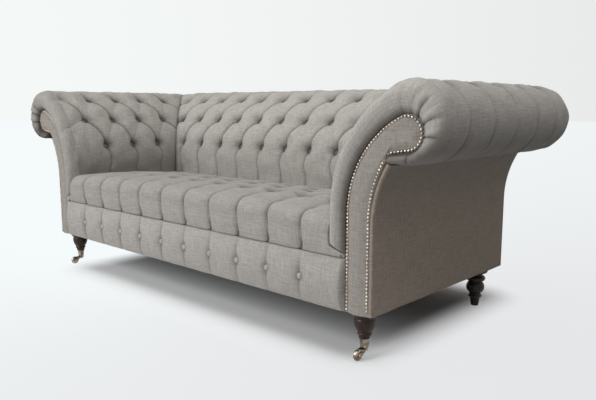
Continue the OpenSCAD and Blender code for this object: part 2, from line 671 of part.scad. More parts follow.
// Legs: turned profiles as [radius, height]. The front pair ends in a tenon for the castor cup.
leg_top = rail_z;
tenon_r = 11;
cup_top = 60;
cup_floor = 32;
tenon_z = 38;
front_profile = [[0, leg_top], [leg_r, leg_top], [leg_r, 133], [40, 127], [34, 124], [33, 120], [27, 116],
    [29, 112], [32, 106], [32.5, 101], [31, 94], [27, 87], [22, 81], [20.5, 78.5], [21, 75.5], [20, 72],
    [17.5, 69],
    [16.5, cup_top], [tenon_r, cup_top], [tenon_r, tenon_z], [0, tenon_z]];
rear_profile = [[0, leg_top], [leg_r, leg_top], [leg_r, 133], [40, 126], [30, 121], [24, 118], [24, 114],
    [30, 111], [34, 106], [34.5, 101], [32, 96], [25, 92], [24, 90], [28, 85], [31.5, 78], [32.5, 70],
    [31.5, 62], [28, 55], [22, 50], [20, 46], [20.5, 43], [24, 39.5], [24.5, 36.5], [23, 33.5], [18, 30.5],
    [17.5, 28], [13, 0], [0, 0]];
module leg(profile, y) {
    color(walnut) translate([leg_x, y, 0]) difference() {
        rotate_extrude() polygon(profile);
        translate([0, 0, leg_top - 34]) cylinder(d = bolt_d + 0.2, h = 40);
    }
}
module front_left_leg() { other_side() leg(front_profile, front_axis_y); }
module front_right_leg() { leg(front_profile, front_axis_y); }
module rear_left_leg() { other_side() leg(rear_profile, rear_axis_y); }
module rear_right_leg() { leg(rear_profile, rear_axis_y); }
module leg_bolts() {
    color(steel) both_sides() for (y = [front_axis_y, rear_axis_y])
        translate([leg_x, y, leg_top - 33.7]) cylinder(d = bolt_d, h = 33.7 + bolt_up);
}

// Castors: the cup holds the tenon, the fork turns on the swivel pin and carries the wheel.
module castor_cup() {
    color(brass) translate([leg_x, front_axis_y, 0]) difference() {
        rotate_extrude() polygon([[0, cup_floor - 2], [11, cup_floor - 2], [12, 34], [13.5, 50], [14, 57],
            [15, 58], [15, cup_top - gap], [0, cup_top - gap]]);
        translate([0, 0, tenon_z - gap]) cylinder(r = tenon_r + gap, h = 40);
        translate([0, 0, 20]) cylinder(d = swivel_d + 0.1, h = 30);
    }
}
module left_castor_cup() { other_side() castor_cup(); }
module right_castor_cup() { castor_cup(); }
hub_top = cup_floor - 2 - gap;
hub_h = 5;
pin_low = 21;
module swivel_pins() {
    color(steel) both_sides() translate([leg_x, front_axis_y, 0]) {
        translate([0, 0, pin_low]) cylinder(d = swivel_d, h = tenon_z - 1 - pin_low);
        translate([0, 0, pin_low]) cylinder(d = swivel_d + 5, h = hub_top - hub_h - gap - pin_low);
    }
}
wheel_r = wheel_d / 2;
cheek_t = 3;
cheek_in = wheel_w / 2 + 0.6;
module cheek_outline() {
    hull() {
        circle(d = axle_d + 9);
        translate([castor_trail - 15, hub_top - hub_h - wheel_r + 1]) circle(r = 4);
    }
    hull() {
        translate([castor_trail - 15, hub_top - hub_h - wheel_r + 1]) circle(r = 4);
        translate([castor_trail - 4, hub_top - hub_h / 2 - wheel_r]) circle(r = hub_h / 2);
    }
}
module castor_fork() {
    color(brass) difference() {
        union() {
            translate([leg_x, front_axis_y, hub_top - hub_h]) cylinder(r = cheek_in + cheek_t, h = hub_h);
            for (side = [-1, 1]) translate([leg_x + side * (cheek_in + cheek_t / 2),
                    front_axis_y - castor_trail, wheel_r])
                rotate([90, 0, 90]) linear_extrude(cheek_t, center = true) cheek_outline();
        }
        translate([leg_x, front_axis_y, 0]) cylinder(d = swivel_d + 2 * run_gap, h = 60);
        translate([leg_x - 30, front_axis_y - castor_trail, wheel_r]) rotate([0, 90, 0])
            cylinder(d = axle_d + 0.1, h = 60);
        translate([leg_x, front_axis_y, 0]) cylinder(d = swivel_d + 6, h = hub_top - hub_h);
    }
}
module left_castor_fork() { other_side() castor_fork(); }
module right_castor_fork() { castor_fork(); }
axle_half = cheek_in + cheek_t + 1;
module castor_axle() {
    color(steel) translate([leg_x - axle_half, front_axis_y - castor_trail, wheel_r]) rotate([0, 90, 0])
        cylinder(d = axle_d, h = 2 * axle_half);
}
module left_castor_axle() { other_side() castor_axle(); }
module right_castor_axle() { castor_axle(); }
module castor_wheel() {
    color(brass) translate([leg_x, front_axis_y - castor_trail, wheel_r]) rotate([0, 90, 0])
        rotate_extrude($fn = 64) polygon([[axle_d / 2 + run_gap, -wheel_w / 2], [wheel_r - 5, -wheel_w / 2],
            [wheel_r - 1.5, -wheel_w / 2 + 2], [wheel_r, -wheel_w / 2 + 5], [wheel_r, wheel_w / 2 - 5],
            [wheel_r - 1.5, wheel_w / 2 - 2], [wheel_r - 5, wheel_w / 2], [axle_d / 2 + run_gap, wheel_w / 2]]);
}
module left_castor_wheel() { other_side() castor_wheel(); }
module right_castor_wheel() { castor_wheel(); }

front_rail();
rear_rail();
left_side_rail();
right_side_rail();
cross_rails();
corner_blocks();
left_facing_board();
right_facing_board();
rear_posts();
arm_uprights();
arm_top_rails();
arm_tack_rails();
back_top_rail();
back_tack_rail();
back_uprights();
roll_corner_rails();
seat_springs();
spring_clips();
seat_hessian();
back_webbing();
arm_webbing();
seat_foam();
back_foam();
left_arm_foam();
right_arm_foam();
corner_foam();
seat_cover();
border_cover();
left_arm_cover();
right_arm_cover();
back_cover();
left_outside_panel();
right_outside_panel();
outside_back();
left_facing_panel();
right_facing_panel();
dust_cover();
seat_buttons();
back_buttons();
left_arm_buttons();
right_arm_buttons();
border_buttons();
left_facing_nails();
right_facing_nails();
front_left_leg();
front_right_leg();
rear_left_leg();
rear_right_leg();
leg_bolts();
left_castor_cup();
right_castor_cup();
swivel_pins();
left_castor_fork();
right_castor_fork();
left_castor_axle();
right_castor_axle();
left_castor_wheel();
right_castor_wheel();
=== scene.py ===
import json
import math

import bpy
import numpy as np
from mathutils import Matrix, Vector


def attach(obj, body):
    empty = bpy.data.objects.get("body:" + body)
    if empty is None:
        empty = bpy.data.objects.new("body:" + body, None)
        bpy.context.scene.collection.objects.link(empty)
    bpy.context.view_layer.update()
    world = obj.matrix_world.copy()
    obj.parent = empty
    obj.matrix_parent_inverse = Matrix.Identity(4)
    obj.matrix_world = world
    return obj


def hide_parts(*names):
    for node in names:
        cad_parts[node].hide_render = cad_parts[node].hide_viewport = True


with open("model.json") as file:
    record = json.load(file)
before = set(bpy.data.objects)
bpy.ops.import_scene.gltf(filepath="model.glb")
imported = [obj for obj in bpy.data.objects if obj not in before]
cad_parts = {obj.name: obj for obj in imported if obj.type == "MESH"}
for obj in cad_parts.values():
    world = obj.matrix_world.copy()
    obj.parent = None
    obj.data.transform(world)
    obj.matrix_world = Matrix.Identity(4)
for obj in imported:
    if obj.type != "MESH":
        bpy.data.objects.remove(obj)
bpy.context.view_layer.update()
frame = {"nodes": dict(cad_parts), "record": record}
nodes = frame["nodes"]
print("frame loaded:", len(nodes), "nodes")

# Camera at the photograph's viewpoint
view = {"place": (1.8661, -1.7862, 0.7235), "yaw": 0.7495, "pitch": 0.1486, "roll": -0.0006,
    "lens": 37.81, "sensor": 36}
lensData = bpy.data.cameras.new("camera")
lensData.lens = view["lens"]
lensData.sensor_width = view["sensor"]


def newObject(name, data):
    # An object in the scene's own collection
    made = bpy.data.objects.new(name, data)
    bpy.context.scene.collection.objects.link(made)
    return made


camera = newObject("camera", lensData)
camera.location = view["place"]
camera.rotation_euler = (math.pi / 2 - view["pitch"], view["roll"], view["yaw"])
bpy.context.scene.camera = camera
bpy.context.scene.view_settings.view_transform = "Standard"

# Shared sizes of the upholstery, in metres, as in the construction model
body = {"halfWidth": 0.742, "facingY": -0.44003, "backY": 0.10497, "rearY": 0.35997,
    "baseZ": 0.147, "seamZ": 0.300, "gap": 0.0003, "bulge": 0.028}
roll = {"curveZ": 0.440, "curveR": 0.391, "curveA": math.radians(60.6), "rollR": 0.110, "tuck": 0.057,
    "cornerR": 0.045, "coverT": 0.040, "underT": 0.020}
roll["out"] = roll["curveR"] - (roll["curveR"] - roll["rollR"]) * math.cos(roll["curveA"])
roll["z"] = roll["curveZ"] + (roll["curveR"] - roll["rollR"]) * math.sin(roll["curveA"])
roll["curveLen"] = roll["curveR"] * roll["curveA"]
roll["rollLen"] = roll["rollR"] * (1.5 * math.pi - roll["curveA"])
roll["end"] = roll["curveLen"] + roll["rollLen"] + roll["tuck"]
roll["start"] = body["seamZ"] + body["gap"] - roll["curveZ"]
roll["cornerOut"] = roll["out"] - roll["cornerR"]
facing = {"nailIn": 0.061, "nailZ": 0.430, "nailR": 0.295, "nailA": math.radians(64.2), "scrollR": 0.044,
    "nailGap": 0.070, "outerR": 0.3375, "outerA": math.radians(30), "outerZ": 0.410, "margin": 0.0055,
    "padMargin": 0.0056, "thick": 0.0037, "crown": 0.008, "kneeOut": 0.84, "kneeFall": 0.13}
facing["scroll"] = np.array([
    facing["nailIn"] + facing["nailR"] - (facing["nailR"] - facing["scrollR"]) * math.cos(facing["nailA"]),
    facing["nailZ"] + (facing["nailR"] - facing["scrollR"]) * math.sin(facing["nailA"])])
tuft = {"pitch": 0.141, "rowPitch": 0.133, "firstRow": 0.1086, "rows": 3, "pleat": 0.0105, "weak": 0.55,
    "well": 0.0210, "wellR": 0.0135, "wideR": 0.028, "wellDrawn": (1.9, 0.8, 1.6), "fold": 0.0055, "bow": 0.14,
    "hook": 0.10, "hookRows": 0.85, "sharp": 0.018, "soft": 0.050, "smooth": 0.93, "ray": 0.0008, "rayR": 0.020,
    "rayWide": 0.013, "rays": 9, "streakPitch": 0.0085, "streakWide": 0.015, "streakUp": 0.035, "streakLong": 0.022,
    "wellShadeR": 0.0165, "coreR": 0.0145, "shadeSharp": 0.012, "shadeSoft": 0.032, "shadeShares": (0.92, 0.82), "deepest": 0.9}
legs = {"x": 0.825, "front": -0.38403, "rear": 0.28897}
sides = ((1, "right"), (-1, "left"))


# Stage, lights and world: pairs of colours run from the left of the room to its right
stage = {"floorSize": 60, "floor": (0.82, 0.83, 0.84), "clouds": 0.35, "cloudTone": 0.985, "ambient": 0.12,
    "warmth": (1.0, 0.90, 0.82, 1), "sky": ((0.92, 0.955, 0.945), (0.80, 0.805, 0.80), 1.25),
    "near": ((0.915, 0.958, 0.97), (0.785, 0.792, 0.802), 0.5), "shadeAt": (0.05, 0, 0),
    "footprint": (0.70, 0.38, 1), "steep": (1.35, 1.25, 1), "fadeFrom": -0.01, "fadeTo": 0.28}


class Wire:
    # A socket that can be added, multiplied and so on, which adds Math nodes
    def __init__(self, finish, socket):
        self.finish, self.socket = finish, socket

    def math(self, operation, first, second=0.0):
        return self.finish.node("Math", {"operation": operation}, {0: first, 1: second})

    def __add__(self, other):
        return self.math("ADD", self, other)

    __radd__ = __add__

    def __mul__(self, other):
        return self.math("MULTIPLY", self, other)

    __rmul__ = __mul__

    def __sub__(self, other):
        return self.math("SUBTRACT", self, other)

    def __rsub__(self, other):
        return self.math("SUBTRACT", other, self)


class Finish:
    # A material, or the world, with one method for every node
    def __init__(self, name, tree=None):
        if tree is None:
            self.material = bpy.data.materials.new(name)
            self.material.use_nodes = True
            tree = self.material.node_tree
        self.tree = tree
        self.tree.nodes.clear()

    def node(self, kind, settings=None, inputs=None, out=0):
        made = self.tree.nodes.new("ShaderNode" + kind)
        for key, value in (settings or {}).items():
            if key == "stops":
                ramp = made.color_ramp
                while len(ramp.elements) < len(value):
                    ramp.elements.new(0.5)
                for element, (place, colour) in zip(ramp.elements, value):
                    element.position, element.color = place, (*colour, 1)
            else:
                setattr(made, key, value)
        for key, value in (inputs or {}).items():
            if isinstance(value, Wire):
                self.tree.links.new(value.socket, made.inputs[key])
            else:
                made.inputs[key].default_value = value
        return Wire(self, made.outputs[out]) if len(made.outputs) else None

    def mix(self, factor, first, second):
        whole = [c if isinstance(c, Wire) else (*c, 1) for c in (first, second)]
        return self.node("Mix", {"data_type": "RGBA"}, {0: factor, 6: whole[0], 7: whole[1]}, 2)

    def vector(self, operation, first, second=(0, 0, 0), out=0):
        return self.node("VectorMath", {"operation": operation}, {0: first, 1: second}, out)

    def firstOf(self, vector):
        return self.node("SeparateXYZ", {}, {0: vector})

    def stretch(self, vector, scale):
        return self.node("Mapping", {}, {"Vector": vector, "Scale": scale})

    def noise(self, vector, scale, detail=2.0, rough=0.5):
        return self.node("TexNoise", {},
            {"Vector": self.stretch(vector, scale), "Scale": 1.0, "Detail": detail, "Roughness": rough})

    def ramp(self, factor, *stops):
        return self.node("ValToRGB", {"stops": stops}, {"Fac": factor})

    def seen(self):
        # 1 for a ray that shows what it meets: from the camera, off metal or through glass
        camera, glossy, through = [self.node("LightPath", {}, {}, "Is " + kind + " Ray")
            for kind in ("Camera", "Glossy", "Transmission")]
        return self.node("Math", {"operation": "ADD", "use_clamp": True}, {0: camera + glossy, 1: through})

    def objectPlace(self):
        return self.node("TexCoord", {}, {}, "Object")

    def bump(self, height, distance, strength=1.0):
        return self.node("Bump", {}, {"Height": height, "Distance": distance, "Strength": strength})

    def surface(self, **inputs):
        shade = self.node("BsdfPrincipled", {}, {key.replace("_", " "): value for key, value in inputs.items()})
        self.node("OutputMaterial", {}, {"Surface": shade})
        return self.material


def acrossRoom(finish, direction, tones):
    # Backdrop colour by direction from the middle of the room, paler on the window side
    left, right, steep = tones
    toRight = finish.firstOf(finish.vector("NORMALIZE", direction))
    return finish.mix(toRight * steep + steep, left, right)


def paleFloor():
    # Lit and shaded near the sofa; far out the camera sees it fade into the backdrop
    finish = Finish("paleFloor")
    place = finish.objectPlace()
    cloudy = finish.noise(place, (stage["clouds"],) * 3)
    shade = finish.node("BsdfDiffuse", {},
        {"Color": finish.mix(cloudy, stage["floor"], tuple(c * stage["cloudTone"] for c in stage["floor"]))})
    across = finish.vector("ABSOLUTE", finish.vector("SUBTRACT", place, stage["shadeAt"]))
    outside = finish.vector("MAXIMUM", finish.vector("SUBTRACT", across, stage["footprint"]))
    far = finish.vector("LENGTH", finish.vector("MULTIPLY", outside, stage["steep"]), out="Value")
    fade = finish.node("MapRange", {"interpolation_type": "SMOOTHSTEP"},
        {0: far, 1: stage["fadeFrom"], 2: stage["fadeTo"]})
    glow = finish.node("Emission", {}, {"Color": acrossRoom(finish, place, stage["near"]), "Strength": 1.0})
    both = finish.node("MixShader", {}, {0: fade * finish.seen(), 1: shade, 2: glow})
    finish.node("OutputMaterial", {}, {"Surface": both})
    return finish.material


def makeStage():
    # One wide floor, and a world that is the backdrop where it is seen and a soft light elsewhere
    half = stage["floorSize"] / 2
    mesh = bpy.data.meshes.new("floor")
    mesh.from_pydata([(-half, -half, 0), (half, -half, 0), (half, half, 0), (-half, half, 0)], [], [(0, 1, 2, 3)])
    mesh.materials.append(paleFloor())
    newObject("floor", mesh)
    world = bpy.data.worlds.new("room")
    bpy.context.scene.world = world
    world.use_nodes = True
    finish = Finish("room", world.node_tree)
    direction = finish.node("TexCoord", {}, {}, "Generated")
    sky = finish.node("Background", {}, {"Color": acrossRoom(finish, direction, stage["sky"]), "Strength": 1.0})
    soft = finish.node("Background", {}, {"Color": stage["warmth"], "Strength": stage["ambient"]})
    both = finish.node("MixShader", {}, {0: finish.seen(), 1: soft, 2: sky})
    finish.node("OutputWorld", {}, {"Surface": both})


lamps = [  # name, place, aim, width, power, colour
    ("window", (-1.5, -4.8, 2.8), (-0.1, 0, 0.4), 3.0, 245, (0.98, 0.99, 1.0)),
    ("ceiling", (1.1, -0.6, 4.2), (0.2, -0.1, 0.4), 3.2, 150, (0.98, 1.0, 1.0))]


def makeLamps():
    # Square area lamps, each turned from its place towards its aim
    for name, place, aim, width, power, colour in lamps:
        data = bpy.data.lights.new(name, "AREA")
        data.shape, data.size, data.energy, data.color = "SQUARE", width, power, colour
        lamp = newObject(name, data)
        lamp.location = place
        lamp.rotation_euler = (Vector(aim) - Vector(place)).to_track_quat("-Z", "Y").to_euler()


makeStage()
makeLamps()
print("stage ready")

# Finishes
# Thread colours, a warm tint, and the dark colour that painted shade mixes in
linenLook = {"dark": (0.180, 0.167, 0.151), "light": (0.424, 0.406, 0.380), "warm": (0.34, 0.29, 0.25),
    "deep": (0.045, 0.036, 0.030), "slub": 0.0040, "thread": 0.0017, "slubLong": 0.055, "threadTurn": 0.12,
    "clouds": (9, 9, 1), "warmShare": 0.16, "slubShare": (0.36, 0.32), "threadShare": 0.20, "stops": (0.35, 0.70),
    "bump": 0.0005}


def linen(name, tone):
    # Undyed slub linen: streaks along both threads on the cloth's own UV map, a plain weave in the bump,
    # and painted shade at the bottom of wells and folds and in other shaded places, from a second map
    finish = Finish(name)
    cloth = finish.node("UVMap", {"uv_map": "cloth"})
    deep = finish.firstOf(finish.node("UVMap", {"uv_map": "deep"}))
    look = linenLook
    long, slub, thread = 1 / look["slubLong"], 1 / look["slub"], 1 / look["thread"]
    weft = finish.noise(cloth, (long, slub, 1), 3.0, 0.6)
    warp = finish.noise(cloth, (slub, long, 1), 3.0, 0.6)
    fineWeft = finish.noise(cloth, (thread * look["threadTurn"], thread, 1))
    fineWarp = finish.noise(cloth, (thread, thread * look["threadTurn"], 1))
    streaks = weft * look["slubShare"][0] + warp * look["slubShare"][1] \
        + fineWeft * look["threadShare"] + fineWarp * look["threadShare"]
    dark, light, warm = (tuple(c * t for c, t in zip(look[key], tone)) for key in ("dark", "light", "warm"))
    tint = finish.ramp(streaks, (look["stops"][0], dark), (look["stops"][1], light))
    warmed = finish.mix(finish.noise(cloth, look["clouds"]) * look["warmShare"], tint, warm)
    across, along = [finish.node("TexWave", {"wave_type": "BANDS", "bands_direction": way},
        {"Vector": finish.stretch(cloth, scale), "Scale": 1.0, "Distortion": 0.0})
        for way, scale in (("X", (thread * 0.5, 1, 1)), ("Y", (1, thread * 0.5, 1)))]
    height = across * along * 0.5 + weft * 0.5 + warp * 0.5
    # The second map mixes the base colour towards the dark colour of painted shade
    return finish.surface(Base_Color=finish.mix(deep, warmed, look["deep"]), Roughness=0.92 - streaks * 0.12,
        Specular_IOR_Level=0.25, Sheen_Weight=0.12, Sheen_Roughness=0.5,
        Normal=finish.bump(height, look["bump"], 0.9))


def walnut(name):
    # Nearly black polished walnut with a grain that runs up the leg
    finish = Finish(name)
    place = finish.objectPlace()
    grain = finish.noise(place, (90, 90, 9), 4.0, 0.6)
    worn = finish.noise(place, (30, 30, 30))
    tint = finish.ramp(grain, (0.30, (0.009, 0.005, 0.003)), (0.72, (0.040, 0.021, 0.012)))
    return finish.surface(Base_Color=tint, Roughness=0.30 + worn * 0.22, Coat_Weight=0.05,
        Coat_Roughness=0.12, Specular_IOR_Level=0.22, Normal=finish.bump(grain, 0.0003, 0.5))


def agedMetal(name, bright, dull, rough):
    # Metal rubbed bright in random clouds and dull between
    finish = Finish(name)
    place = finish.objectPlace()
    cloud = finish.noise(place, (60, 60, 60), 4.0, 0.6)
    fine = finish.noise(place, (400, 400, 400))
    return finish.surface(Base_Color=finish.ramp(cloud, (0.32, dull), (0.62, bright)), Metallic=1.0,
        Roughness=rough + cloud * 0.15 - fine * 0.05, Normal=finish.bump(fine, 0.0002, 0.4))


def timber(name):
    # Plain beech, its grain along the long rails
    finish = Finish(name)
    grain = finish.noise(finish.objectPlace(), (12, 60, 60), 3.0, 0.55)
    tint = finish.ramp(grain, (0.30, (0.42, 0.27, 0.14)), (0.70, (0.62, 0.44, 0.26)))
    return finish.surface(Base_Color=tint, Roughness=0.62 + grain * 0.1, Normal=finish.bump(grain, 0.0004, 0.5))


def cambric(name):
    # Black non-woven bottom cloth with fine creases
    finish = Finish(name)
    place = finish.objectPlace()
    fibre = finish.noise(place, (260, 260, 20), 3.0)
    crease = finish.noise(place, (7, 7, 7))
    return finish.surface(Base_Color=finish.mix(fibre, (0.010, 0.010, 0.011), (0.030, 0.030, 0.032)),
        Roughness=0.9, Normal=finish.bump(crease + fibre * 0.05, 0.006, 0.5))


# The linen in tones: the copies for buttons sunk in their wells, for the facings and for the outside panels are
# darker, which is painted shade; the outside panels' copy is also warmer, as the shade there is warm
linens = {"linen": (1.0, 1.0, 1.0), "buttonLinen": (1.04, 1.04, 1.04), "shadedButtonLinen": (0.36, 0.34, 0.32),
    "shadedFacingLinen": (0.76, 0.74, 0.72), "shadedSideLinen": (0.76, 0.66, 0.58)}  # tone of each
metals = {  # bright, dull, roughness
    "nail": ((0.66, 0.57, 0.48), (0.28, 0.22, 0.17), 0.28),
    "brass": ((0.46, 0.40, 0.31), (0.11, 0.09, 0.065), 0.22),
    "steel": ((0.52, 0.52, 0.53), (0.30, 0.30, 0.31), 0.28)}
finishes = {"walnut": walnut("walnut"), "timber": timber("timber"), "cambric": cambric("cambric")}
finishes.update((name, linen(name, tone)) for name, tone in linens.items())
finishes.update((name, agedMetal(name, *tones)) for name, tones in metals.items())
slots = {"walnut": "dark_walnut", "timber": "beech", "cambric": "black_cambric", "nail": "nail_brass",
    "brass": "castor_brass", "steel": "spring_steel", **{name: "linen" for name in linens}}
print("finishes ready")


# Meshes from whole arrays
def makeMesh(name, points, groups, cloth=None):
    # Points and groups of faces with the same number of corners; turned outwards by the signed volume
    volume = sum(float(np.einsum("ij,ij->", points[g[:, 0]], np.cross(points[g[:, k]], points[g[:, k + 1]])))
        for g in groups for k in range(1, g.shape[1] - 1))
    if volume < 0:
        groups = [g[:, ::-1] for g in groups]
    sizes = np.concatenate([np.full(len(g), g.shape[1]) for g in groups])
    loops = np.concatenate([g.ravel() for g in groups]).astype(np.int32)
    mesh = bpy.data.meshes.new(name)
    mesh.vertices.add(len(points))
    mesh.vertices.foreach_set("co", points.astype(np.float32).ravel())
    mesh.loops.add(len(loops))
    mesh.loops.foreach_set("vertex_index", loops)
    mesh.polygons.add(len(sizes))
    mesh.polygons.foreach_set("loop_start", np.concatenate([[0], np.cumsum(sizes)[:-1]]).astype(np.int32))
    mesh.update(calc_edges=True)
    mesh.polygons.foreach_set("use_smooth", np.ones(len(sizes), bool))
    if cloth is not None:
        # A third column of the cloth map, if there is one, goes to a second map: the share of painted shade
        deep = np.zeros((len(points), 2))
        deep[:, 0] = cloth[:, 2] if cloth.shape[1] > 2 else 0
        mesh.uv_layers.new(name="cloth").data.foreach_set("uv", cloth[loops, :2].astype(np.float32).ravel())
        mesh.uv_layers.new(name="deep").data.foreach_set("uv", deep[loops].astype(np.float32).ravel())
    mesh.validate()
    return mesh


def addPiece(name, mesh, finish, replaced, sharp=None):
    # A finished piece, part of the standing body, in place of its construction nodes
    piece = newObject(name, mesh)
    mesh.materials.append(finishes[finish])
    if sharp:
        mesh.set_sharp_from_angle(angle=math.radians(sharp))
    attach(piece, "root")
    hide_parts(*replaced)
    return piece


def shell(name, outer, inner, ratio, cloth):
    # Closed shell: an outer grid, an inner grid with one column for every few, and walls round the edges
    m, n, k = outer.shape[0] - 1, outer.shape[1] - 1, inner.shape[0] - 1
    o = np.arange((m + 1) * (n + 1)).reshape(m + 1, n + 1)
    w = (m + 1) * (n + 1) + np.arange((k + 1) * (n + 1)).reshape(k + 1, n + 1)

    def corners(a, b, c, d):
        return np.stack([a.ravel(), b.ravel(), c.ravel(), d.ravel()], 1)

    faces = [corners(o[:-1, :-1], o[1:, :-1], o[1:, 1:], o[:-1, 1:]),
        corners(w[:-1, :-1], w[:-1, 1:], w[1:, 1:], w[1:, :-1]),
        corners(o[0, :-1], o[0, 1:], w[0, 1:], w[0, :-1]),
        corners(o[m, 1:], o[m, :-1], w[k, :-1], w[k, 1:])]
    runs = np.arange(k)[:, None] * ratio + np.arange(ratio + 1)
    low = np.concatenate([o[runs[:, ::-1], 0], w[:-1, :1], w[1:, :1]], 1)
    high = np.concatenate([o[runs, n], w[1:, n:], w[:-1, n:]], 1)
    points = np.concatenate([outer.reshape(-1, 3), inner.reshape(-1, 3)])
    return makeMesh(name, points, [np.concatenate(faces), low, high],
        np.concatenate([part.reshape(-1, cloth.shape[2]) for part in (cloth, cloth[::ratio][:k + 1])]))


def waves(u, v, size, seed, count=9):
    # Smooth random field: a sum of sines in random directions with wavelengths near a size
    rng = np.random.default_rng(seed)
    total = np.zeros(np.broadcast(u, v).shape)
    for _ in range(count):
        angle, length, phase = rng.uniform(0, math.pi), size * rng.uniform(0.7, 1.6), rng.uniform(0, 2 * math.pi)
        total += np.sin(2 * math.pi * (u * math.cos(angle) + v * math.sin(angle)) / length + phase)
    return total / math.sqrt(count)


def grid(*parts):
    # Out of rows and columns, one array of points
    return np.stack(np.broadcast_arrays(*parts), 2)


def ease(x, low, high):
    # 0 below the low end and 1 above the high one, by 3t squared less 2t cubed between
    t = np.clip((x - low) / (high - low), 0, 1)
    return t * t * (3 - 2 * t)


def cusp(x, ahead, behind):
    # Section of a fold: an edge that fades over one width ahead of it and over another behind
    return np.exp(-np.abs(x) / np.where(x > 0, ahead, behind))


# Profile of arms and back
def turnAt(l):
    # Angle of the outward normal: along the curve by its radius, then round the roll by its own
    a = np.where(l < roll["curveLen"], l / roll["curveR"], roll["curveA"] + (l - roll["curveLen"]) / roll["rollR"])
    return np.clip(a, 0, 1.5 * math.pi)


def tuckAt(l):
    # How far past the roll, along the flat tuck beneath it
    return np.maximum(0, l - roll["curveLen"] - roll["rollLen"])


def profileAt(l, depth=0.0):
    # Out and height: upright, an arc, the roll, a flat tuck; then inwards along the normal by the depth
    a, onCurve = turnAt(l), l < roll["curveLen"]
    out = np.where(onCurve, roll["curveR"] * (1 - np.cos(a)), roll["out"] - roll["rollR"] * np.cos(a) - tuckAt(l))
    z = np.where(onCurve, roll["curveZ"] + np.minimum(l, 0) + roll["curveR"] * np.sin(a),
        roll["z"] + roll["rollR"] * np.sin(a))
    return out + depth * np.cos(a), z - depth * np.sin(a)


def boardAt(l, grow):
    # The nail line of the facing at the same turn: upright, an arc, round the scroll
    a, f = turnAt(l), facing
    rise = (f["nailZ"] - body["seamZ"]) / (roll["curveZ"] - body["seamZ"])
    low = body["seamZ"] + rise * (roll["curveZ"] + l - body["seamZ"])
    out = np.where(a < f["nailA"], f["nailIn"] + f["nailR"] - (f["nailR"] + grow) * np.cos(a),
        f["scroll"][0] - (f["scrollR"] + grow) * np.cos(a) - tuckAt(l) * f["kneeOut"])
    z = np.where(a < f["nailA"], f["nailZ"] + (f["nailR"] + grow) * np.sin(a),
        f["scroll"][1] + (f["scrollR"] + grow) * np.sin(a) - tuckAt(l) * f["kneeFall"])
    return np.where(l < 0, f["nailIn"] - grow, out), np.where(l < 0, low, z)


def coverDepth(l):
    # Thickness of the padding, which thins evenly from the top of the roll to its underside
    return roll["coverT"] + (roll["underT"] - roll["coverT"]) * np.maximum(0, turnAt(l) - math.pi / 2) / math.pi


def planAt(out, along, corner):
    # Straight to the corner, then round it on an arc about the corner's centre where the roll turns
    r = np.maximum(out - roll["cornerOut"], 1e-6)
    a = (along - corner - roll["cornerOut"]) / r
    bent = (out > roll["cornerOut"]) & (a > 0)
    a = np.where(bent, a, 0)
    return (np.where(bent, roll["cornerOut"] + r * np.cos(a), out),
        np.where(bent, corner + roll["cornerOut"] + r * np.sin(a), along))


def planEnd(out, corner):
    # Length along a cover to the mitre: straight, and an eighth of a turn where the roll goes round
    return (corner + np.minimum(out, roll["cornerOut"]) - body["gap"] / 2
        + np.maximum(0, out - roll["cornerOut"]) * math.pi / 4)


def near(x):
    # Signed distance to the nearest whole number
    return x - np.round(x)


def profileRows(count):
    # Lengths up the profile in equal steps, and the same counted in rows of buttons
    l = np.linspace(roll["start"], roll["end"], count)[None, :]
    return l, (l - tuft["firstRow"]) / tuft["rowPitch"]


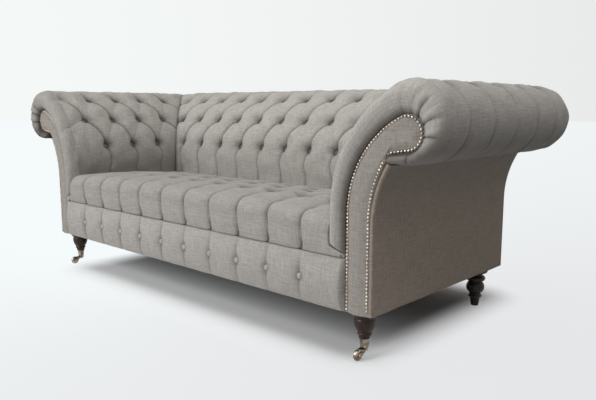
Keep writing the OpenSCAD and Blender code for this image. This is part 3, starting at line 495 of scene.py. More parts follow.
def tufted(a, b, rowPitch, lean, seed, streak=0.0012, hang=0.30):
    # Depth below the puffs, and how deep in shade: a pillow between diagonal valleys, a sharp one-sided fold
    # along one family of diagonals that bows between its buttons, a well at each button and small creases
    # round it. a counts pitches along, b rows up; below the first row and above the last the folds run straight.
    look, rows = tuft, tuft["rows"]
    uneven = np.random.default_rng(seed).uniform(0.75, 1.2, (64, 8))
    s = lean * a
    inside = np.clip(b, 0, rows)
    hook = look["hook"] * np.sin(math.pi * np.clip(-b / look["hookRows"], 0, 1))
    q = s - inside / 2 + look["bow"] * np.sin(math.pi * (inside % 1)) + hook
    smooth, hanging = ease(b, rows - 0.75, rows - 0.10), hang * ease(-b, 0.10, 0.7)
    strong, weak = [1 - (np.abs(np.sin(math.pi * v)) + 1e-9) ** power
        for v, power in ((q, 0.50), (s + inside / 2, 0.75))]
    pillow = 1 - (1 - strong) * (1 - look["weak"] * weak * ease(np.minimum(b, rows - b), -0.15, 0.1))
    x = near(q)
    strength = uneven[np.mod(np.round(q).astype(int), 64), np.clip(np.floor(b) + 1, 0, 7).astype(int)]
    # The nearest button, and the distance to it; its well is drawn out upwards and on its soft side
    b0 = np.clip(np.round(s + b / 2) - np.round(s - b / 2), 0, rows)
    a0 = np.round(s - b0 / 2) + b0 / 2
    dx, dy = (s - a0) * look["pitch"], (b - b0) * rowPitch
    r = np.hypot(dx, dy)
    soft, steep, up = look["wellDrawn"]
    lopsided = np.hypot(np.where(dx < 0, dx / soft, dx / steep), np.where(dy > 0, dy / up, dy))
    well = 0.65 * np.exp(-(lopsided / look["wellR"]) ** 2) + 0.35 * np.exp(-r / look["wideR"])
    phase = uneven[np.mod(np.round(a0 * 2).astype(int), 64), np.mod(b0.astype(int), 8)] * 40
    rays = np.sin(np.arctan2(dy, dx) * look["rays"] + phase) * np.exp(-((r - look["rayR"]) / look["rayWide"]) ** 2)
    lines = np.cos(dx * 2 * math.pi / look["streakPitch"] + phase) * np.exp(-(dx / look["streakWide"]) ** 2) \
        * np.exp(-np.abs(dy - look["streakUp"]) / look["streakLong"]) * ease(dy, 0.005, 0.02)
    depth = look["pleat"] * pillow * (1 - look["smooth"] * smooth - hanging) \
        + look["fold"] * cusp(x, look["sharp"], look["soft"]) * strength * (1 - 0.35 * smooth) \
        + look["well"] * well * (1 - 0.35 * ease(b, rows - 0.5, rows)) + look["ray"] * rays + streak * lines
    # Painted shade: a thin line along the sharp side of each fold, and a lopsided patch round each well
    thin = cusp(x, look["shadeSharp"], look["shadeSoft"]) * strength * (1 - 0.30 * smooth - hanging) \
        * (0.55 + 0.75 * ((inside + 1e-6) % 1))
    core = 0.95 * np.exp(-(lopsided / look["wellShadeR"]) ** 1.5) + 0.60 * np.exp(-(r / look["coreR"]) ** 4)
    return depth, np.clip(look["shadeShares"][0] * core + look["shadeShares"][1] * thin, 0, look["deepest"])


mitre = {"line": 0.002, "lineWide": 0.005, "hollow": 0.008, "hollowWide": 0.045, "shade": 0.45, "shadeWide": 0.006}


def mitred(rest):
    # A crease where two covers meet, deepest at the joint: its depth and its shade
    m = mitre
    return (m["line"] * np.exp(-rest / m["lineWide"]) + m["hollow"] * np.exp(-rest / m["hollowWide"]),
        m["shade"] * np.exp(-rest / m["shadeWide"]))


def bentCover(l, depth, along, slack, corner):
    # Out, along and height of a cover that is sunk by the depth and bent round the corner; along takes up a
    # share of what the depth adds at the mitre, and is given back for the cloth's own map
    out, z = profileAt(l, depth)
    end = planEnd(out, corner)
    along = along + (end - planEnd(profileAt(l)[0], corner)) * slack
    return (*planAt(out, np.minimum(along, end), corner), z, along)


def lining(l, start, shares, corner):
    # Inner face of the padding, by shares of the way from a start to the mitre
    out, z = profileAt(l, coverDepth(l))
    along = start + shares * (planEnd(out, corner) - start)
    return (*planAt(out, along, corner), z)


armLook = {"first": 0.180, "capBack": 0.025, "capTurn": math.radians(140), "capPower": 1.15, "capMap": 0.9,
    "tuckIn": 0.012, "capColumns": 30, "columns": 186, "rows": 281, "ratio": 24, "streak": 0.0006, "hang": 0.55,
    "flatRun": (0.115, 0.05), "flatRows": (0.72, 0.98), "frontRun": 0.075, "frontRise": 0.26, "frontFold": 0.0055,
    "frontWide": (0.018, 0.003), "frontShade": 0.5, "frontLine": 0.0028, "gatherDrift": (9, 15),
    "gatherWide": (1.6, 4.0), "gatherLine": (1.3, 2.6), "gatherHollow": 0.40, "gatherDeepest": 0.8,
    "gathers": ((80, 0.25), (106, 0.35), (130, 1.2), (158, 1.2), (192, 1.2), (228, 0.2), (259, 0.6)),
    "gather": 0.0105, "gatherShade": 0.75, "edgeShare": 0.30, "edgeRun": 0.07, "wave": 0.0012, "waveSize": 0.07,
    "nailClear": 0.0012, "seatClear": 0.004, "nailShade": 0.75, "scrollShade": 0.80, "scrollTurns": (160, 225),
    "capShade": {1: 0, -1: 0.22}, "lowShade": {1: 0.36, -1: 0.44}}


def armFront(y, b, first):
    # Ahead of the first low button the cloth lies flat, under one fold that runs from the second row's
    # first button to the front edge: how much of the tufting is left, the fold's depth and its shade
    look = armLook
    start, stop = look["flatRun"]
    left = 1 - (1 - ease(y, first - start, first - stop)) * (1 - ease(b, *look["flatRows"]))
    ahead = (first - tuft["pitch"] / 2 - y) / look["frontRun"]
    above = (b - 1 + look["frontRise"] * np.clip(ahead, 0, 1.3) ** 1.8) * tuft["rowPitch"]
    strength = ease(ahead, -0.05, 0.25)
    return (left, look["frontFold"] * cusp(above, *look["frontWide"]) * strength,
        look["frontShade"] * cusp(above, look["frontLine"], look["frontLine"]) * strength)


def armGather(turn, w):
    # Small pleats at their own turns round the scroll head, in degrees: each is a cusp across with a hollow
    # beside it, and fades up the cap
    look = armLook
    depth = deep = np.zeros(np.broadcast(turn, w).shape)
    for k, (centre, strength) in enumerate(look["gathers"]):
        x = turn - centre - look["gatherDrift"][k % 2] * (1 - w)
        reach = strength * ease(w, 0.05 + 0.05 * (k % 3), 0.50)
        hollow = look["gatherHollow"] * np.exp(-((x + 8) / 5) ** 2)
        depth = depth + (cusp(x, *look["gatherWide"]) - hollow) * reach
        # Painted shade along the line of each pleat
        deep = deep + look["gatherShade"] * cusp(x, *look["gatherLine"]) * reach
    return look["gather"] * depth, np.clip(deep, 0, look["gatherDeepest"])


def armCover(name, side):
    # Lengths up the profile by steps along the arm: a front cap, which is an arc from the nail line, then
    # the arm itself to the mitre at the back
    look = armLook
    l, b = profileRows(look["rows"])
    turn = np.degrees(turnAt(l))
    capY, first = body["facingY"] + look["capBack"], body["facingY"] + look["first"]
    reach = look["capBack"] + body["bulge"]
    # Cap: w is 0 on the arm and 1 at the nails
    a = np.linspace(look["capTurn"], 0, look["capColumns"], endpoint=False)[:, None]
    w = (1 - np.cos(a)) / (1 - math.cos(look["capTurn"]))
    edgeDepth, edgeDeep = tufted((capY - first) / tuft["pitch"], b, tuft["rowPitch"], -1, 5)
    left, foldDepth, foldDeep = armFront(capY, b, first)
    left, over = left * look["edgeShare"], 1 - ease(w, 0.0, 0.45)
    gather, capDeep = armGather(turn, w)
    pull = gather + (edgeDepth * left + foldDepth) * over \
        + look["wave"] * waves(a * 0.05, l, look["waveSize"], 11) * (1 - w)
    # Shade on the cap: along the nails, under the scroll head, and a little more on the left arm
    capDeep = capDeep + (edgeDeep * left + foldDeep) * over + look["nailShade"] * ease(w, 0.74, 1.0) \
        + look["scrollShade"] * ease(turn - 30 * w, *look["scrollTurns"]) * (1 - 0.35 * w) + look["capShade"][side]
    short = l - look["tuckIn"] * w * ease(l, roll["end"] - roll["tuck"], roll["end"])
    out, z = profileAt(short, pull)
    lineOut, lineZ = boardAt(short, facing["padMargin"])
    across = w ** look["capPower"]
    capOut, capZ = out * (1 - across) + lineOut * across, z * (1 - across) + lineZ * across
    # It stands clear of the nailed edge, and lower down behind the seat's lip
    lift = look["nailClear"] - look["capBack"] + reach * math.sin(look["capTurn"])
    low = seatLook["wingTop"] - seatLook["wingFall"] * w
    behind = (look["seatClear"] - look["capBack"] + reach * np.sin(a)) * (1 - ease(z, low - 0.016, low + 0.012))
    capAlong = capY - reach * np.sin(a) + pull * np.sin(a) * w + np.maximum(lift * w ** 3, behind)
    # Arm behind the cap
    end = planEnd(profileAt(l)[0], body["backY"])
    t = np.linspace(0, 1, look["columns"] + 1)[:, None]
    y = capY + t * (end - capY)
    depth, deep = tufted((y - first) / tuft["pitch"], b, tuft["rowPitch"], -1, 5, look["streak"], look["hang"])
    left, foldDepth, foldDeep = armFront(y, b, first)
    left = left * (look["edgeShare"] + (1 - look["edgeShare"]) * ease(y, capY, capY + look["edgeRun"]))
    crease, creaseDeep = mitred(end - y)
    depth = depth * left + foldDepth + crease + look["wave"] * waves(y, l, look["waveSize"], 11)
    # Painted shade on the arm: in the wells and folds, at the mitre, under the scroll and low down, a little more on
    # the left arm
    deep = deep * left + foldDeep + creaseDeep + look["scrollShade"] * ease(turn, *look["scrollTurns"]) \
        + look["lowShade"][side] * (1 - ease(b, -0.9, 0.4))
    armOut, armAlong, armZ, y = bentCover(l, depth, y, ease(t, 0.86, 1.0), body["backY"])
    outer = np.concatenate([grid(capOut, capAlong, capZ), grid(armOut, armAlong, armZ)])
    cloth = np.concatenate([grid(capY - a * reach * look["capMap"], l, capDeep),
        grid(y, l, np.clip(deep, 0, tuft["deepest"]))])
    shares = np.linspace(0, 1, (outer.shape[0] - 1) // look["ratio"] + 1)[:, None]
    inner = grid(*lining(l, capY - reach * math.sin(look["capTurn"]), shares, body["backY"]))
    for face in (outer, inner):
        face[..., 0] = side * (body["halfWidth"] + face[..., 0])
    return shell(name, outer, inner, look["ratio"], cloth)


backLook = {"columns": 480, "rows": 281, "ratio": 24, "streak": 0.0024, "hang": 0.10, "wave": 0.0012,
    "waveSize": 0.07, "lowShade": 0.10}


def backCover(name):
    # Lengths up the same profile by steps from mitre to mitre
    look, corner = backLook, body["halfWidth"]
    l, b = profileRows(look["rows"])
    end = planEnd(profileAt(l)[0], corner)
    t = np.linspace(-1, 1, look["columns"] + 1)[:, None]
    x = t * end
    depth, deep = tufted(x / tuft["pitch"], b, tuft["rowPitch"], 1, 17, look["streak"], look["hang"])
    crease, creaseDeep = mitred(end - np.abs(x))
    depth = depth + crease + look["wave"] * waves(x, l, look["waveSize"], 23)
    # Painted shade: in the wells and folds, at each mitre, and low down, deepening to the left where the arm casts
    # its shadow
    deep = deep + creaseDeep + look["lowShade"] * (1 - x / corner) * (1 - ease(b, -0.8, 0.4))
    out, along, z, _ = bentCover(l, depth, np.abs(x), ease(np.abs(t), 0.94, 1.0), corner)
    outer = grid(np.sign(t) * along, body["backY"] + out, z)
    u = np.linspace(-1, 1, look["columns"] // look["ratio"] + 1)[:, None]
    out, along, z = lining(l, 0.0, np.abs(u), corner)
    inner = grid(np.sign(u) * along, body["backY"] + out, z)
    return shell(name, outer, inner, look["ratio"], grid(x, l, np.clip(deep, 0, tuft["deepest"])))


seatLook = {"columns": 408, "rows": 214, "ratio": 24, "row": 0.121, "first": 0.156, "edgeR": 0.048,
    "crown": 0.445, "edge": 0.420, "depth": 0.545, "foamTop": 0.380, "foamFront": 0.015, "side": 0.0004,
    "low": 0.004, "fall": 0.020, "lipIn": 0.005, "lipDrop": 0.006, "wing": 0.0493, "under": 0.005,
    "wingTop": 0.342, "wingFall": 0.020, "wingEnd": 0.012, "wingBack": 0.001, "beside": 0.030, "streak": 0.0022,
    "sags": (-0.002, 0.034), "slit": (0.0030, 0.009), "slitDepth": (0.006, 0.010), "slitLean": 0.010,
    "slitLine": (0.0018, 0.0042), "slitShade": (0.75, 0.50), "crease": 0.0024, "creasePitch": 0.012,
    "creaseFan": 0.022, "creaseShade": 0.16, "wave": 0.0011, "waveSize": 0.08, "edgeSag": 0.0015, "pinch": 0.014,
    "lipShade": 0.23, "lightShade": 0.10, "rightLight": 0.06, "seamShade": 0.3}


def crownAt(x, y):
    # Seat height: highest in the middle, falling to the arms by a fourth power and fore and aft by a square
    s = seatLook
    return s["edge"] + (s["crown"] - s["edge"]) * (1 - (np.abs(x) / body["halfWidth"]) ** 4) \
        * (1 - ((y - body["facingY"] - s["depth"] * 0.4) / (s["depth"] * 0.62)) ** 2) \
        - s["fall"] * ease(y, body["facingY"] + s["depth"] * 0.25, body["backY"])


def seatCover(name):
    # Carried from back to front: over the top, round the front edge and down to the seam. A slit goes down
    # the front at each pitch, with fine creases that fan out beside it
    s, pitch = seatLook, tuft["pitch"]
    half = body["halfWidth"] + s["under"]
    front, rear = body["facingY"] - body["bulge"] + s["lipIn"], body["backY"] - s["side"]
    flat, arc = rear - front - s["edgeR"], s["edgeR"] * math.pi / 2
    drop = s["edge"] - s["lipDrop"] - s["edgeR"] - body["seamZ"]
    x = np.linspace(-half, half, s["columns"] + 1)[:, None]
    d = np.linspace(0, 1, s["rows"])[None, :] * (flat + arc + drop)
    y0 = rear - np.minimum(d, flat)
    turn = np.clip((d - flat) / s["edgeR"], 0, math.pi / 2)
    t = np.clip((d - flat - arc) / drop, 0, 1)
    b = (rear - s["first"] - body["facingY"] - d) / s["row"]
    sag, deep = tufted(x / pitch + 0.5, b, s["row"], 1, 31, s["streak"])
    sag = sag * (1 - 0.5 * ease(b, 3.0, 3.6))
    rest = near(x / pitch - 0.5) * pitch
    side, fan = rest + s["slitLean"] * (t - np.sin(math.pi * t)), np.abs(rest)
    creases = np.cos(fan * 2 * math.pi / s["creasePitch"] + 6 * np.sin(np.round(x / pitch) * 2.4)) \
        * np.exp(-fan / s["creaseFan"]) * ease(t, 0.0, 0.8)
    # Painted shade: in the wells and along the folds on top, along each slit down the front, at the seam, in the
    # creases beside the slits, and a little over the whole seat, less down the front and towards the right
    deep = np.where(b < 0, 0, deep) + cusp(side, *s["slitLine"]) \
        * (s["slitShade"][0] * ease(-b, 0, 0.4) + s["slitShade"][1] * ease(t, 0.2, 0.8)) \
        + s["seamShade"] * ease(t, 0.93, 1.0) + s["lipShade"] - s["lightShade"] * ease(t, 0.0, 0.6) \
        - s["rightLight"] * np.clip(x / half, 0, 1) + s["creaseShade"] * np.maximum(creases, 0)
    sag = sag + cusp(side, *s["slit"]) \
        * (s["slitDepth"][0] * ease(d, flat, flat + arc) + s["slitDepth"][1] * ease(t, 0.35, 0.95)) \
        + s["wave"] * waves(x, d, s["waveSize"], 41) + s["crease"] * creases \
        + s["edgeSag"] * np.exp(-(half - np.abs(x)) / 0.012)
    sag = np.clip(sag, *s["sags"])
    top = crownAt(x, np.maximum(y0, front + s["edgeR"]))
    edge, reach = top - s["edgeR"], s["edgeR"] - sag
    pinch = ease(t, 0.40, 1.1) * s["pinch"] + t * (body["facingY"] - s["low"] - front) * 0.25
    y = np.where(t > 0, front + sag * (1 - 0.55 * t) + pinch,
        np.where(d < flat, y0, front + s["edgeR"] - reach * np.sin(turn)))
    z = np.where(t > 0, edge - t * (edge - body["seamZ"] - body["gap"]),
        np.where(d < flat, top - sag, edge + reach * np.cos(turn)))
    # Under the arm's front the lip runs on to the nail line
    beside = ease(np.abs(x), half - s["beside"], half)
    wingTop = s["wingTop"] - s["wingFall"] * beside
    wide = x + np.sign(x) * s["wing"] * (1 - ease(z, wingTop - 0.012, wingTop + 0.016)) * beside
    tip = half + s["wing"]
    y = y + (body["facingY"] + s["wingBack"] - y) * ease(np.abs(wide), tip - s["wingEnd"], tip) ** 2
    u = np.linspace(-half, half, s["columns"] // s["ratio"] + 1)[:, None]
    past = np.maximum(0, d - flat - arc / 2) / (arc / 2 + drop)
    inner = grid(u, np.maximum(y0, body["facingY"] + s["foamFront"]),
        s["foamTop"] - (s["foamTop"] - body["seamZ"] - body["gap"]) * past)
    return shell(name, grid(wide, y, z), inner, s["ratio"], grid(x, d, np.clip(deep, 0, tuft["deepest"])))


borderLook = {"columns": 384, "rows": 45, "ratio": 24, "face": 0.008, "back": 0.0035, "channel": 0.0062,
    "channelWide": 0.020, "channelLine": 0.004, "button": 0.5, "buttonIn": 0.0030, "well": 0.0045, "wellR": 0.016,
    "height": 0.15, "lipIn": 0.005, "wave": 0.0007, "waveSize": 0.06, "endRun": 0.010, "ringR": 0.017,
    "ringShade": 0.36, "lineShade": 0.24, "lineWide": 0.003, "lowShade": 0.16, "foldShade": 0.26, "foldWide": 0.018}


def borderRest(x):
    # Distance along to the nearest channel; there is none on the ends beside the facings
    return np.where(np.abs(x) < 5 * tuft["pitch"], np.abs(near(x / tuft["pitch"] - 0.5)) * tuft["pitch"], 1.0)


def borderFace(x, t):
    # How far the border stands in front of the facing plane: a shallow swell, cut by a channel at each button
    s = borderLook
    swell, rest = np.sin(math.pi * t), borderRest(x)
    cut = 0.70 * np.exp(-rest / s["channelWide"]) + 0.30 * np.exp(-(rest / s["channelLine"]) ** 2)
    well = np.exp(-(rest ** 2 + ((t - s["button"]) * s["height"]) ** 2) / s["wellR"] ** 2)
    return s["face"] + (body["bulge"] - s["face"] - s["lipIn"]) * swell ** 0.7 \
        - s["channel"] * cut * (0.35 + 0.65 * swell) - s["well"] * well


def borderCover(name):
    # Steps along by rows up; the painted shade is a ring at each button, the line of its channel and one side of it,
    # and grows towards the bottom
    s = borderLook
    half = body["halfWidth"] + facing["nailIn"] - facing["margin"] - body["gap"]
    x = np.linspace(-half, half, s["columns"] + 1)[:, None]
    t = np.linspace(0, 1, s["rows"])[None, :]
    ends = ease(half - np.abs(x), 0.0, s["endRun"])
    y = body["facingY"] - (borderFace(x, t) + s["wave"] * waves(x, t * s["height"], s["waveSize"], 53)) * ends
    z = body["baseZ"] + (body["seamZ"] - body["gap"] - body["baseZ"]) * t
    u = np.linspace(-half, half, s["columns"] // s["ratio"] + 1)[:, None]
    rest = borderRest(x)
    ring = np.hypot(rest, (t - s["button"]) * (body["seamZ"] - body["baseZ"]))
    deep = s["ringShade"] * np.exp(-(ring / s["ringR"]) ** 2) + s["lineShade"] * np.exp(-rest / s["lineWide"]) \
        + s["lowShade"] * (1 - t) + s["foldShade"] * (near(x / tuft["pitch"] - 0.5) < 0) \
        * np.exp(-rest / s["foldWide"]) * np.sin(math.pi * t) ** 0.5
    return shell(name, grid(x, y, z), grid(u, body["facingY"] + s["back"], z), s["ratio"], grid(x, z, deep))


upholstery = {
    "rightArm": (armCover("rightArm", 1), ["right_arm_cover", "right_arm_foam"], 0.85),
    "leftArm": (armCover("leftArm", -1), ["left_arm_cover", "left_arm_foam"], 0.85),
    "back": (backCover("back"), ["back_cover", "back_foam", "corner_foam", "back_webbing", "arm_webbing"], 0.85),
    "seat": (seatCover("seat"), ["seat_cover", "seat_foam", "seat_hessian"], 0.9),
    "border": (borderCover("border"), ["border_cover"], 0.7)}
for name, (mesh, replaced, fill) in upholstery.items():
    addPiece(name, mesh, "linen", replaced)
print("padding ready")


# Facings, outside panels and bottom cloth
def alongLine(points, pick):
    # Points of a polyline at lengths along it, which pick works out from the whole length
    steps = np.concatenate([[0], np.cumsum(np.hypot(*np.diff(points, axis=0).T))])
    return np.stack([np.interp(pick(steps[-1]), steps, points[:, k]) for k in (0, 1)], 1)


def evenly(count):
    # Pick for alongLine: a count of equal steps
    return lambda length: np.linspace(0, length, count)


def arcOf(centre, radius, start, stop, count=24):
    # Points of an arc, in degrees from the side nearest to the seat, over the top
    a = np.radians(np.linspace(start, stop, count))
    return centre + radius * np.stack([-np.cos(a), np.sin(a)], 1)


def facingEdges(grow, low):
    # Inner edge from the floor of the body to the scroll's tip, and outer edge to the same tip,
    # each in four runs that are matched across: upright, arc, head, and the knee under the scroll
    f, look = facing, facingLook
    inX, outX = f["nailIn"] - grow, f["nailIn"] + f["nailGap"] + grow
    headR, outR, nailA, outA = f["scrollR"] + grow, f["outerR"] - grow, math.degrees(f["nailA"]), f["outerA"]
    inCentre = np.array([f["nailIn"] + f["nailR"], f["nailZ"]])
    outCentre = np.array([f["nailIn"] + f["nailGap"] + f["outerR"], f["outerZ"]])
    top = outCentre + outR * np.array([-math.cos(outA), math.sin(outA)])
    under = f["scroll"] - [0, headR]
    knee = np.array([top[0] + look["tipOut"], under[1] + (top[0] - under[0]) * look["tipFall"]])
    t = np.linspace(0, 1, 24)[:, None]
    bend = (1 - t) ** 2 * (knee + [look["tipRun"], 0]) + 2 * t * (1 - t) * knee + t * t * top
    inner = [np.array([[inX, low], [inX, f["nailZ"]]]), arcOf(inCentre, f["nailR"] + grow, 0, nailA),
        arcOf(f["scroll"], headR, nailA, 120), arcOf(f["scroll"], headR, 120, 192)]
    outer = [np.array([[outX, low], [outX, f["outerZ"]]]), arcOf(outCentre, outR, 0, math.degrees(outA)),
        np.concatenate([bend[::-1], under[None, :]]), arcOf(f["scroll"], headR, 270, 204)]
    return inner, outer


facingLook = {"runs": (48, 48, 24, 24), "across": 33, "ratio": 8, "back": 0.0016, "crownRim": (0.0015, 0.034),
    "edge": 0.0018, "edgeRim": 0.003, "wave": 0.0005, "waveSize": 0.05, "tipOut": 0.009, "tipFall": 0.1,
    "tipRun": 0.014}


def facingPanel(name, side):
    # Straight across from the inner edge to the outer; it rises from its rim and from the tip to a soft crown
    f, look = facing, facingLook
    lines = [np.concatenate([alongLine(run, evenly(n + 1))[(k > 0):]
        for k, (run, n) in enumerate(zip(edge, look["runs"]))]) for edge in facingEdges(f["margin"], body["baseZ"])]
    w = np.linspace(0, 1, look["across"])[None, :]
    flat = lines[0][:, None, :] * (1 - w[..., None]) + lines[1][:, None, :] * w[..., None]
    rim = np.minimum(w, 1 - w) * np.hypot(*(lines[1] - lines[0]).T)[:, None]
    rim = np.minimum(rim, np.hypot(*(flat - (lines[0][-1] + lines[1][-1]) / 2).transpose(2, 0, 1)))
    crown = f["crown"] * ease(rim, *look["crownRim"]) + look["edge"] * ease(rim, 0, look["edgeRim"])
    out, z = flat[..., 0], flat[..., 1]
    y = body["facingY"] + look["back"] - crown + look["wave"] * waves(out, z, look["waveSize"], 61)
    outer = grid(side * (body["halfWidth"] + out), y, z)
    inner = outer[::look["ratio"]].copy()
    inner[..., 1] = body["facingY"] + f["thick"]
    return shell(name, outer, inner, look["ratio"], flat)


panelLook = {"thick": 0.008, "armT": 0.146, "radius": 0.325, "startZ": 0.400, "topZ": 0.5708, "round": 0.006,
    "rows": 97, "columns": 144, "ratio": 12, "return": 0.0092, "back": 0.0037, "swell": 0.0022, "swellRun": 0.06,
    "wave": 0.0006, "waveSize": 0.11, "shade": 0.56, "shadeRise": (0.34, 0.58), "rearWave": 0.0007,
    "rearWaveSize": 0.13, "rearEdge": (0.004, 0.005)}


def panelLine(l, inset):
    # Outside of the arm: upright, then a hollow arc that flares out under the roll
    s = panelLook
    a = np.maximum(0, l - s["startZ"]) / s["radius"]
    return (s["armT"] - inset + np.where(l > s["startZ"], (s["radius"] + inset) * (1 - np.cos(a)), 0),
        np.where(l > s["startZ"], s["startZ"] + (s["radius"] + inset) * np.sin(a), l))


def panelRows():
    # Lengths up the outside, from the floor of the body to the end of its arc under the roll
    s = panelLook
    top = s["startZ"] + s["radius"] * math.asin((s["topZ"] - s["startZ"]) / s["radius"])
    return np.linspace(body["baseZ"], top, s["rows"])[None, :]


def outsidePanel(name, side):
    # The cloth turns round the front edge of the arm on a small radius and runs flat to the rear
    s = panelLook
    l = panelRows()
    lip, turn = 4, s["ratio"] - 4
    a = np.linspace(0, math.pi / 2, turn + 1)
    front, rear = body["facingY"], body["rearY"] - s["thick"] - body["gap"]
    inset = np.concatenate([np.linspace(s["return"], s["round"], lip + 1)[:-1], s["round"] * (1 - np.sin(a)),
        np.zeros(s["columns"] - s["ratio"])])[:, None]
    y = np.concatenate([np.full(lip, front), front + s["round"] * (1 - np.cos(a)),
        np.linspace(front + s["round"], rear, s["columns"] - s["ratio"] + 1)[1:]])[:, None]
    rest = np.minimum(y - front, rear - y) / s["swellRun"]
    swell = s["swell"] * np.clip(rest, 0, 1) * ease(l, body["baseZ"], body["baseZ"] + 0.05) \
        + s["wave"] * waves(y, l, s["waveSize"], 71) * ease(y, front + 0.01, front + 0.05)
    out, z = panelLine(l, inset - swell)
    outer = grid(side * (body["halfWidth"] + out), y, z)
    k = s["columns"] // s["ratio"]
    backInset = np.concatenate([[s["return"]], np.full(k, s["thick"])])[:, None]
    backY = np.concatenate([[front + s["back"]], np.linspace(front + s["back"] + 0.0003, rear, k)])[:, None]
    inOut, inZ = panelLine(l, backInset)
    inner = grid(side * (body["halfWidth"] + inOut), backY, inZ)
    # Painted shade high up, under the overhang of the roll, clear of the rounded front edge
    deep = s["shade"] * ease(l, *s["shadeRise"]) * ease(y, front + 0.001, front + 0.012)
    return shell(name, outer, inner, s["ratio"], grid(y + inset, l, deep))


def outsideBack(name):
    # As wide at each height as the arms' panels flare; it swells a little and its sides are rounded over
    s = panelLook
    out, z = panelLine(panelRows(), 0.0)
    half = body["halfWidth"] + out
    x = np.linspace(-1, 1, 241)[:, None] * half
    rim = np.minimum(half - np.abs(x), z - body["baseZ"])
    fall, width = s["rearEdge"]
    fall = fall * (1 - np.sqrt(1 - (1 - np.clip((half - np.abs(x)) / width, 0, 1)) ** 2))
    y = body["rearY"] - fall + s["swell"] * ease(rim, 0, 0.06) \
        + s["rearWave"] * waves(x, z, s["rearWaveSize"], 83) * ease(rim, 0, 0.05)
    outer = grid(x, y, z)
    inner = outer[::s["ratio"]].copy()
    inner[..., 1] = body["rearY"] - s["thick"]
    return shell(name, outer, inner, s["ratio"], grid(x, z))


bottomLook = {"halfX": 0.879, "frontY": -0.411, "rearY": 0.351, "z": 0.1474, "sag": 0.006, "cell": 0.011,
    "hole": 0.0445, "thick": 0.0006, "wave": 0.0006, "waveSize": 0.12}


def bottomCloth(name):
    # A flat sheet that sags a little between its edges, cut out round each leg
    s = bottomLook
    nx, ny = round(2 * s["halfX"] / s["cell"]), round((s["rearY"] - s["frontY"]) / s["cell"])
    x, y = np.meshgrid(np.linspace(-s["halfX"], s["halfX"], nx + 1), np.linspace(s["frontY"], s["rearY"], ny + 1),
        indexing="ij")
    keep = np.ones((nx, ny), bool)
    for legX in (-legs["x"], legs["x"]):
        for legY in (legs["front"], legs["rear"]):
            dx, dy = x - legX, y - legY
            r = np.maximum(np.hypot(dx, dy), 1e-5)
            inside = r < s["hole"]
            keep &= ~(inside[:-1, :-1] & inside[1:, :-1] & inside[1:, 1:] & inside[:-1, 1:])
            x, y = np.where(inside, legX + dx / r * s["hole"], x), np.where(inside, legY + dy / r * s["hole"], y)
    u, v = x / s["halfX"], (2 * y - s["frontY"] - s["rearY"]) / (s["rearY"] - s["frontY"])
    z = s["z"] - s["sag"] * (1 - u ** 8) * (1 - v ** 2) + s["wave"] * waves(x, y, s["waveSize"], 97) * (1 - v ** 2)
    o = np.arange(x.size).reshape(x.shape)
    faces = np.stack([o[:-1, :-1], o[:-1, 1:], o[1:, 1:], o[1:, :-1]], 2)[keep]
    used, faces = np.unique(faces, return_inverse=True)
    points = grid(x, y, z).reshape(-1, 3)[used]
    mesh = makeMesh(name, points, [faces.reshape(-1, 4)])
    corner = points[faces.reshape(-1, 4)]
    area = np.linalg.norm(np.cross(corner[:, 2] - corner[:, 0], corner[:, 3] - corner[:, 1]), axis=1).sum() / 2
    return mesh, float(area)


# Facings and outside panels are in darker copies of the linen, which is painted shade
for side, word in sides:
    name = word + "Facing"
    addPiece(name, facingPanel(name, side), "shadedFacingLinen", [word + "_facing_panel"], 50)
    name = word + "Outside"
    addPiece(name, outsidePanel(name, side), "shadedSideLinen", [word + "_outside_panel"], 60)
addPiece("outsideBack", outsideBack("outsideBack"), "shadedSideLinen", ["outside_back"], 60)
bottomMesh, bottomArea = bottomCloth("bottomCloth")
bottom = addPiece("bottomCloth", bottomMesh, "cambric", ["dust_cover"])
thick = bottom.modifiers.new("thick", "SOLIDIFY")
thick.thickness, thick.offset = bottomLook["thick"], 0
print("panels ready")


# Turned and repeated shapes
def turned(profile, segments):
    # Rings of a profile of radius and height about Z, closed by a pole at each end
    rings, count = profile[1:-1], len(profile) - 2
    a = np.linspace(0, 2 * math.pi, segments, endpoint=False)
    points = grid(rings[:, :1] * np.cos(a), rings[:, :1] * np.sin(a), rings[:, 1:]).reshape(-1, 3)
    points = np.concatenate([points, [[0, 0, profile[0, 1]], [0, 0, profile[-1, 1]]]])
    ring = np.arange(count * segments).reshape(count, segments)
    after = np.roll(ring, -1, 1)
    quads = np.stack([ring[:-1], after[:-1], after[1:], ring[1:]], 2).reshape(-1, 4)
    low = np.stack([after[0], ring[0], np.full(segments, count * segments)], 1)
    high = np.stack([ring[-1], after[-1], np.full(segments, count * segments + 1)], 1)
    return points, [quads, np.concatenate([low, high])]


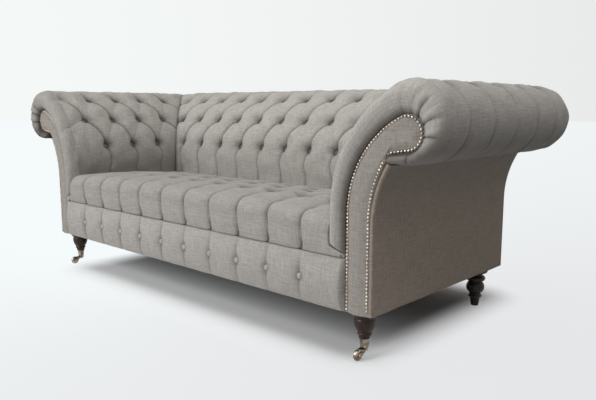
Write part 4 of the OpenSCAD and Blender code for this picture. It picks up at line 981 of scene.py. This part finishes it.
def repeated(name, shape, places, axes, sizes=None):
    # The same small shape at every place, its Z along the axis given there, turned and sized a little differently
    points, groups = shape
    rng = np.random.default_rng(len(places))
    axes = axes / np.linalg.norm(axes, axis=1, keepdims=True)
    side = np.cross(axes, np.where(np.abs(axes[:, 1:2]) > 0.9, [[1.0, 0, 0]], [[0, 1.0, 0]]))
    side /= np.linalg.norm(side, axis=1, keepdims=True)
    other = np.cross(axes, side)
    spin = rng.uniform(0, 2 * math.pi, (len(places), 1))
    first, second = side * np.cos(spin) + other * np.sin(spin), other * np.cos(spin) - side * np.sin(spin)
    scale = rng.uniform(0.97, 1.03, (len(places), 1, 1)) if sizes is None else sizes
    local = points[None] * scale
    world = places[:, None] + local[..., :1] * first[:, None] + local[..., 1:2] * second[:, None] \
        + local[..., 2:] * axes[:, None]
    shift = np.arange(len(places))[:, None, None] * len(points)
    cloth = np.tile(points[:, :2], (len(places), 1)) + np.repeat(rng.uniform(0, 1, (len(places), 2)), len(points), 0)
    return makeMesh(name, world.reshape(-1, 3), [(g[None] + shift).reshape(-1, g.shape[1]) for g in groups], cloth)


def rounded(profile, step=0.0005, soft=0.0024):
    # The turned profile in fine steps, its corners eased by a moving average
    fine = alongLine(np.array(profile) / 1000, lambda length: np.linspace(0, length, int(length / step)))
    n = max(3, int(soft / step) | 1)
    padded = np.concatenate([np.repeat(fine[:1], n // 2, 0), fine, np.repeat(fine[-1:], n // 2, 0)])
    smooth = np.stack([np.convolve(padded[:, k], np.ones(n) / n, "valid") for k in (0, 1)], 1)
    smooth[[0, -1], 0] = 0
    return smooth


buttonLook = {"profile": [(0, -4), (6, -4), (9.6, -1.4), (10.6, 0.6), (9.4, 3.0), (6.2, 4.8), (3.0, 5.5), (0, 5.7)],
    "segments": 14, "depth": 0.0285, "clear": 0.022, "edge": 0.022, "borderSize": 0.92}
button = turned(np.array(buttonLook["profile"]) / 1000, buttonLook["segments"])


def profileButtons(first, corner, centred):
    # Rows of buttons at the tufts' own places: along, out, height and the angle of the surface
    found = []
    for row in range(tuft["rows"] + 1):
        l = tuft["firstRow"] + row * tuft["rowPitch"]
        out, z = profileAt(l, buttonLook["depth"])
        reach = corner + min(profileAt(l)[0], roll["cornerOut"]) - buttonLook["clear"]
        shift = row % 2 / 2 * (1 if centred else -1)
        last = math.floor((reach - first) / tuft["pitch"] - shift)
        k = np.arange(int(-last - 2 * shift) if centred else 0, last + 1)
        found.append(np.stack(np.broadcast_arrays(first + (k + shift) * tuft["pitch"], out, z, turnAt(l))))
    return np.concatenate(found, 1)


def addButtons(name, places, axes, replaced, finish="shadedButtonLinen", sizes=None):
    # One piece with a button at every place
    # By default the buttons are in a darker copy of the linen, which is painted shade in their wells
    addPiece(name, repeated(name, button, places, np.broadcast_to(axes, places.shape), sizes), finish, replaced)


along, out, z, a = profileButtons(body["facingY"] + armLook["first"], body["backY"], False)
for side, word in sides:
    addButtons(word + "ArmButtons", np.stack([side * (body["halfWidth"] + out), along, z], 1),
        np.stack([-side * np.cos(a), 0 * a, np.sin(a)], 1), [word + "_arm_buttons"])
along, out, z, a = profileButtons(0.0, body["halfWidth"], True)
addButtons("backButtons", np.stack([along, body["backY"] + out, z], 1),
    np.stack([0 * a, -np.cos(a), np.sin(a)], 1), ["back_buttons"])

spots = []
for row in range(tuft["rows"] + 1):
    shift = (row + 1) % 2 / 2
    last = math.floor((body["halfWidth"] - buttonLook["edge"]) / tuft["pitch"] - shift)
    spots += [((k + shift) * tuft["pitch"], body["facingY"] + seatLook["first"] + row * seatLook["row"])
        for k in range(int(-last - 2 * shift), last + 1)]
spots = np.array(spots)
addButtons("seatButtons", np.column_stack([spots, crownAt(*spots.T) - buttonLook["depth"]]), [0.0, 0, 1],
    ["seat_buttons"])
x = (np.arange(-5, 5) + 0.5) * tuft["pitch"]
face = body["facingY"] - borderFace(x, borderLook["button"]) - borderLook["buttonIn"]
height = body["baseZ"] + (body["seamZ"] - body["baseZ"]) * borderLook["button"]
addButtons("borderButtons", np.stack([x, face, 0 * x + height], 1), [0.0, -1, 0], ["border_buttons"], "buttonLinen",
    buttonLook["borderSize"])

nailLook = {"profile": [(0, -0.6), (3.6, -0.6), (3.8, 0.2), (3.2, 1.45), (1.9, 2.4), (0, 2.8)], "segments": 12,
    "pitch": 0.0105, "start": 0.004, "low": 0.0045, "in": 0.0024}


def nailSpots():
    # One line of nails: up the inner edge, round the scroll and down the outer edge, at equal steps
    inner, outer = facingEdges(0.0, body["baseZ"] + nailLook["low"])
    scrollRun = arcOf(facing["scroll"], facing["scrollR"], math.degrees(facing["nailA"]), 270, 60)
    line = np.concatenate(inner[:2] + [scrollRun] + [run[::-1] for run in outer[2::-1]])
    start, pitch = nailLook["start"], nailLook["pitch"]
    return alongLine(line, lambda length: start + np.arange(int((length - start) / pitch)) * pitch)


nailPlaces = nailSpots()
nail = turned(np.array(nailLook["profile"]) / 1000, nailLook["segments"])
for side, word in sides:
    spots = np.stack([side * (body["halfWidth"] + nailPlaces[:, 0]),
        np.full(len(nailPlaces), body["facingY"] - nailLook["in"]), nailPlaces[:, 1]], 1)
    addPiece(word + "Nails", repeated(word + "Nails", nail, spots, np.tile([0.0, -1, 0], (len(spots), 1))), "nail",
        [word + "_facing_nails"])
print("buttons and nails ready")

legLook = {"segments": 72,
    "front": [(0, 150), (37, 150), (37, 133), (35, 128.5), (30.5, 126), (29.5, 122), (31.5, 118), (31.8, 112),
    (31, 104), (29, 96), (25.5, 88), (21.5, 82), (20, 79.5), (20.6, 77.5), (22, 75.3), (20.4, 71.5), (17.5, 69),
    (16.5, 60.2), (10.6, 60.2), (10.6, 38.5), (0, 38.5)],
    "rear": [(0, 150), (43, 150), (43, 133), (40, 126), (30, 121), (24, 118), (24, 114), (30, 111), (34, 106),
    (34.5, 101), (32, 96), (25, 92), (24, 90), (28, 85), (31.5, 78), (32.5, 70), (31.5, 62), (28, 55), (22, 50),
    (20, 46), (20.5, 43), (24, 39.5), (24.5, 36.5), (23, 33.5), (18, 30.5), (17.5, 28), (13.4, 0), (0, 0)]}
for side, word in sides:
    for end in ("front", "rear"):
        points, groups = turned(rounded(legLook[end]), legLook["segments"])
        name = end + word.title() + "Leg"
        addPiece(name, makeMesh(name, points + [side * legs["x"], legs[end], 0], groups), "walnut",
            [end + "_" + word + "_leg"])
print("legs ready")


def carryOver():
    # Construction nodes that stay get a finish by their slot
    bySlot = {slot: finish for finish, slot in slots.items()}
    bySlot.update(linen="linen", foam="timber", hessian="timber")
    for part in frame["record"]["subparts"]:
        node = nodes[part["node"]]
        node.data.materials.clear()
        node.data.materials.append(finishes[bySlot[part["material_slot"]]])


carryOver()
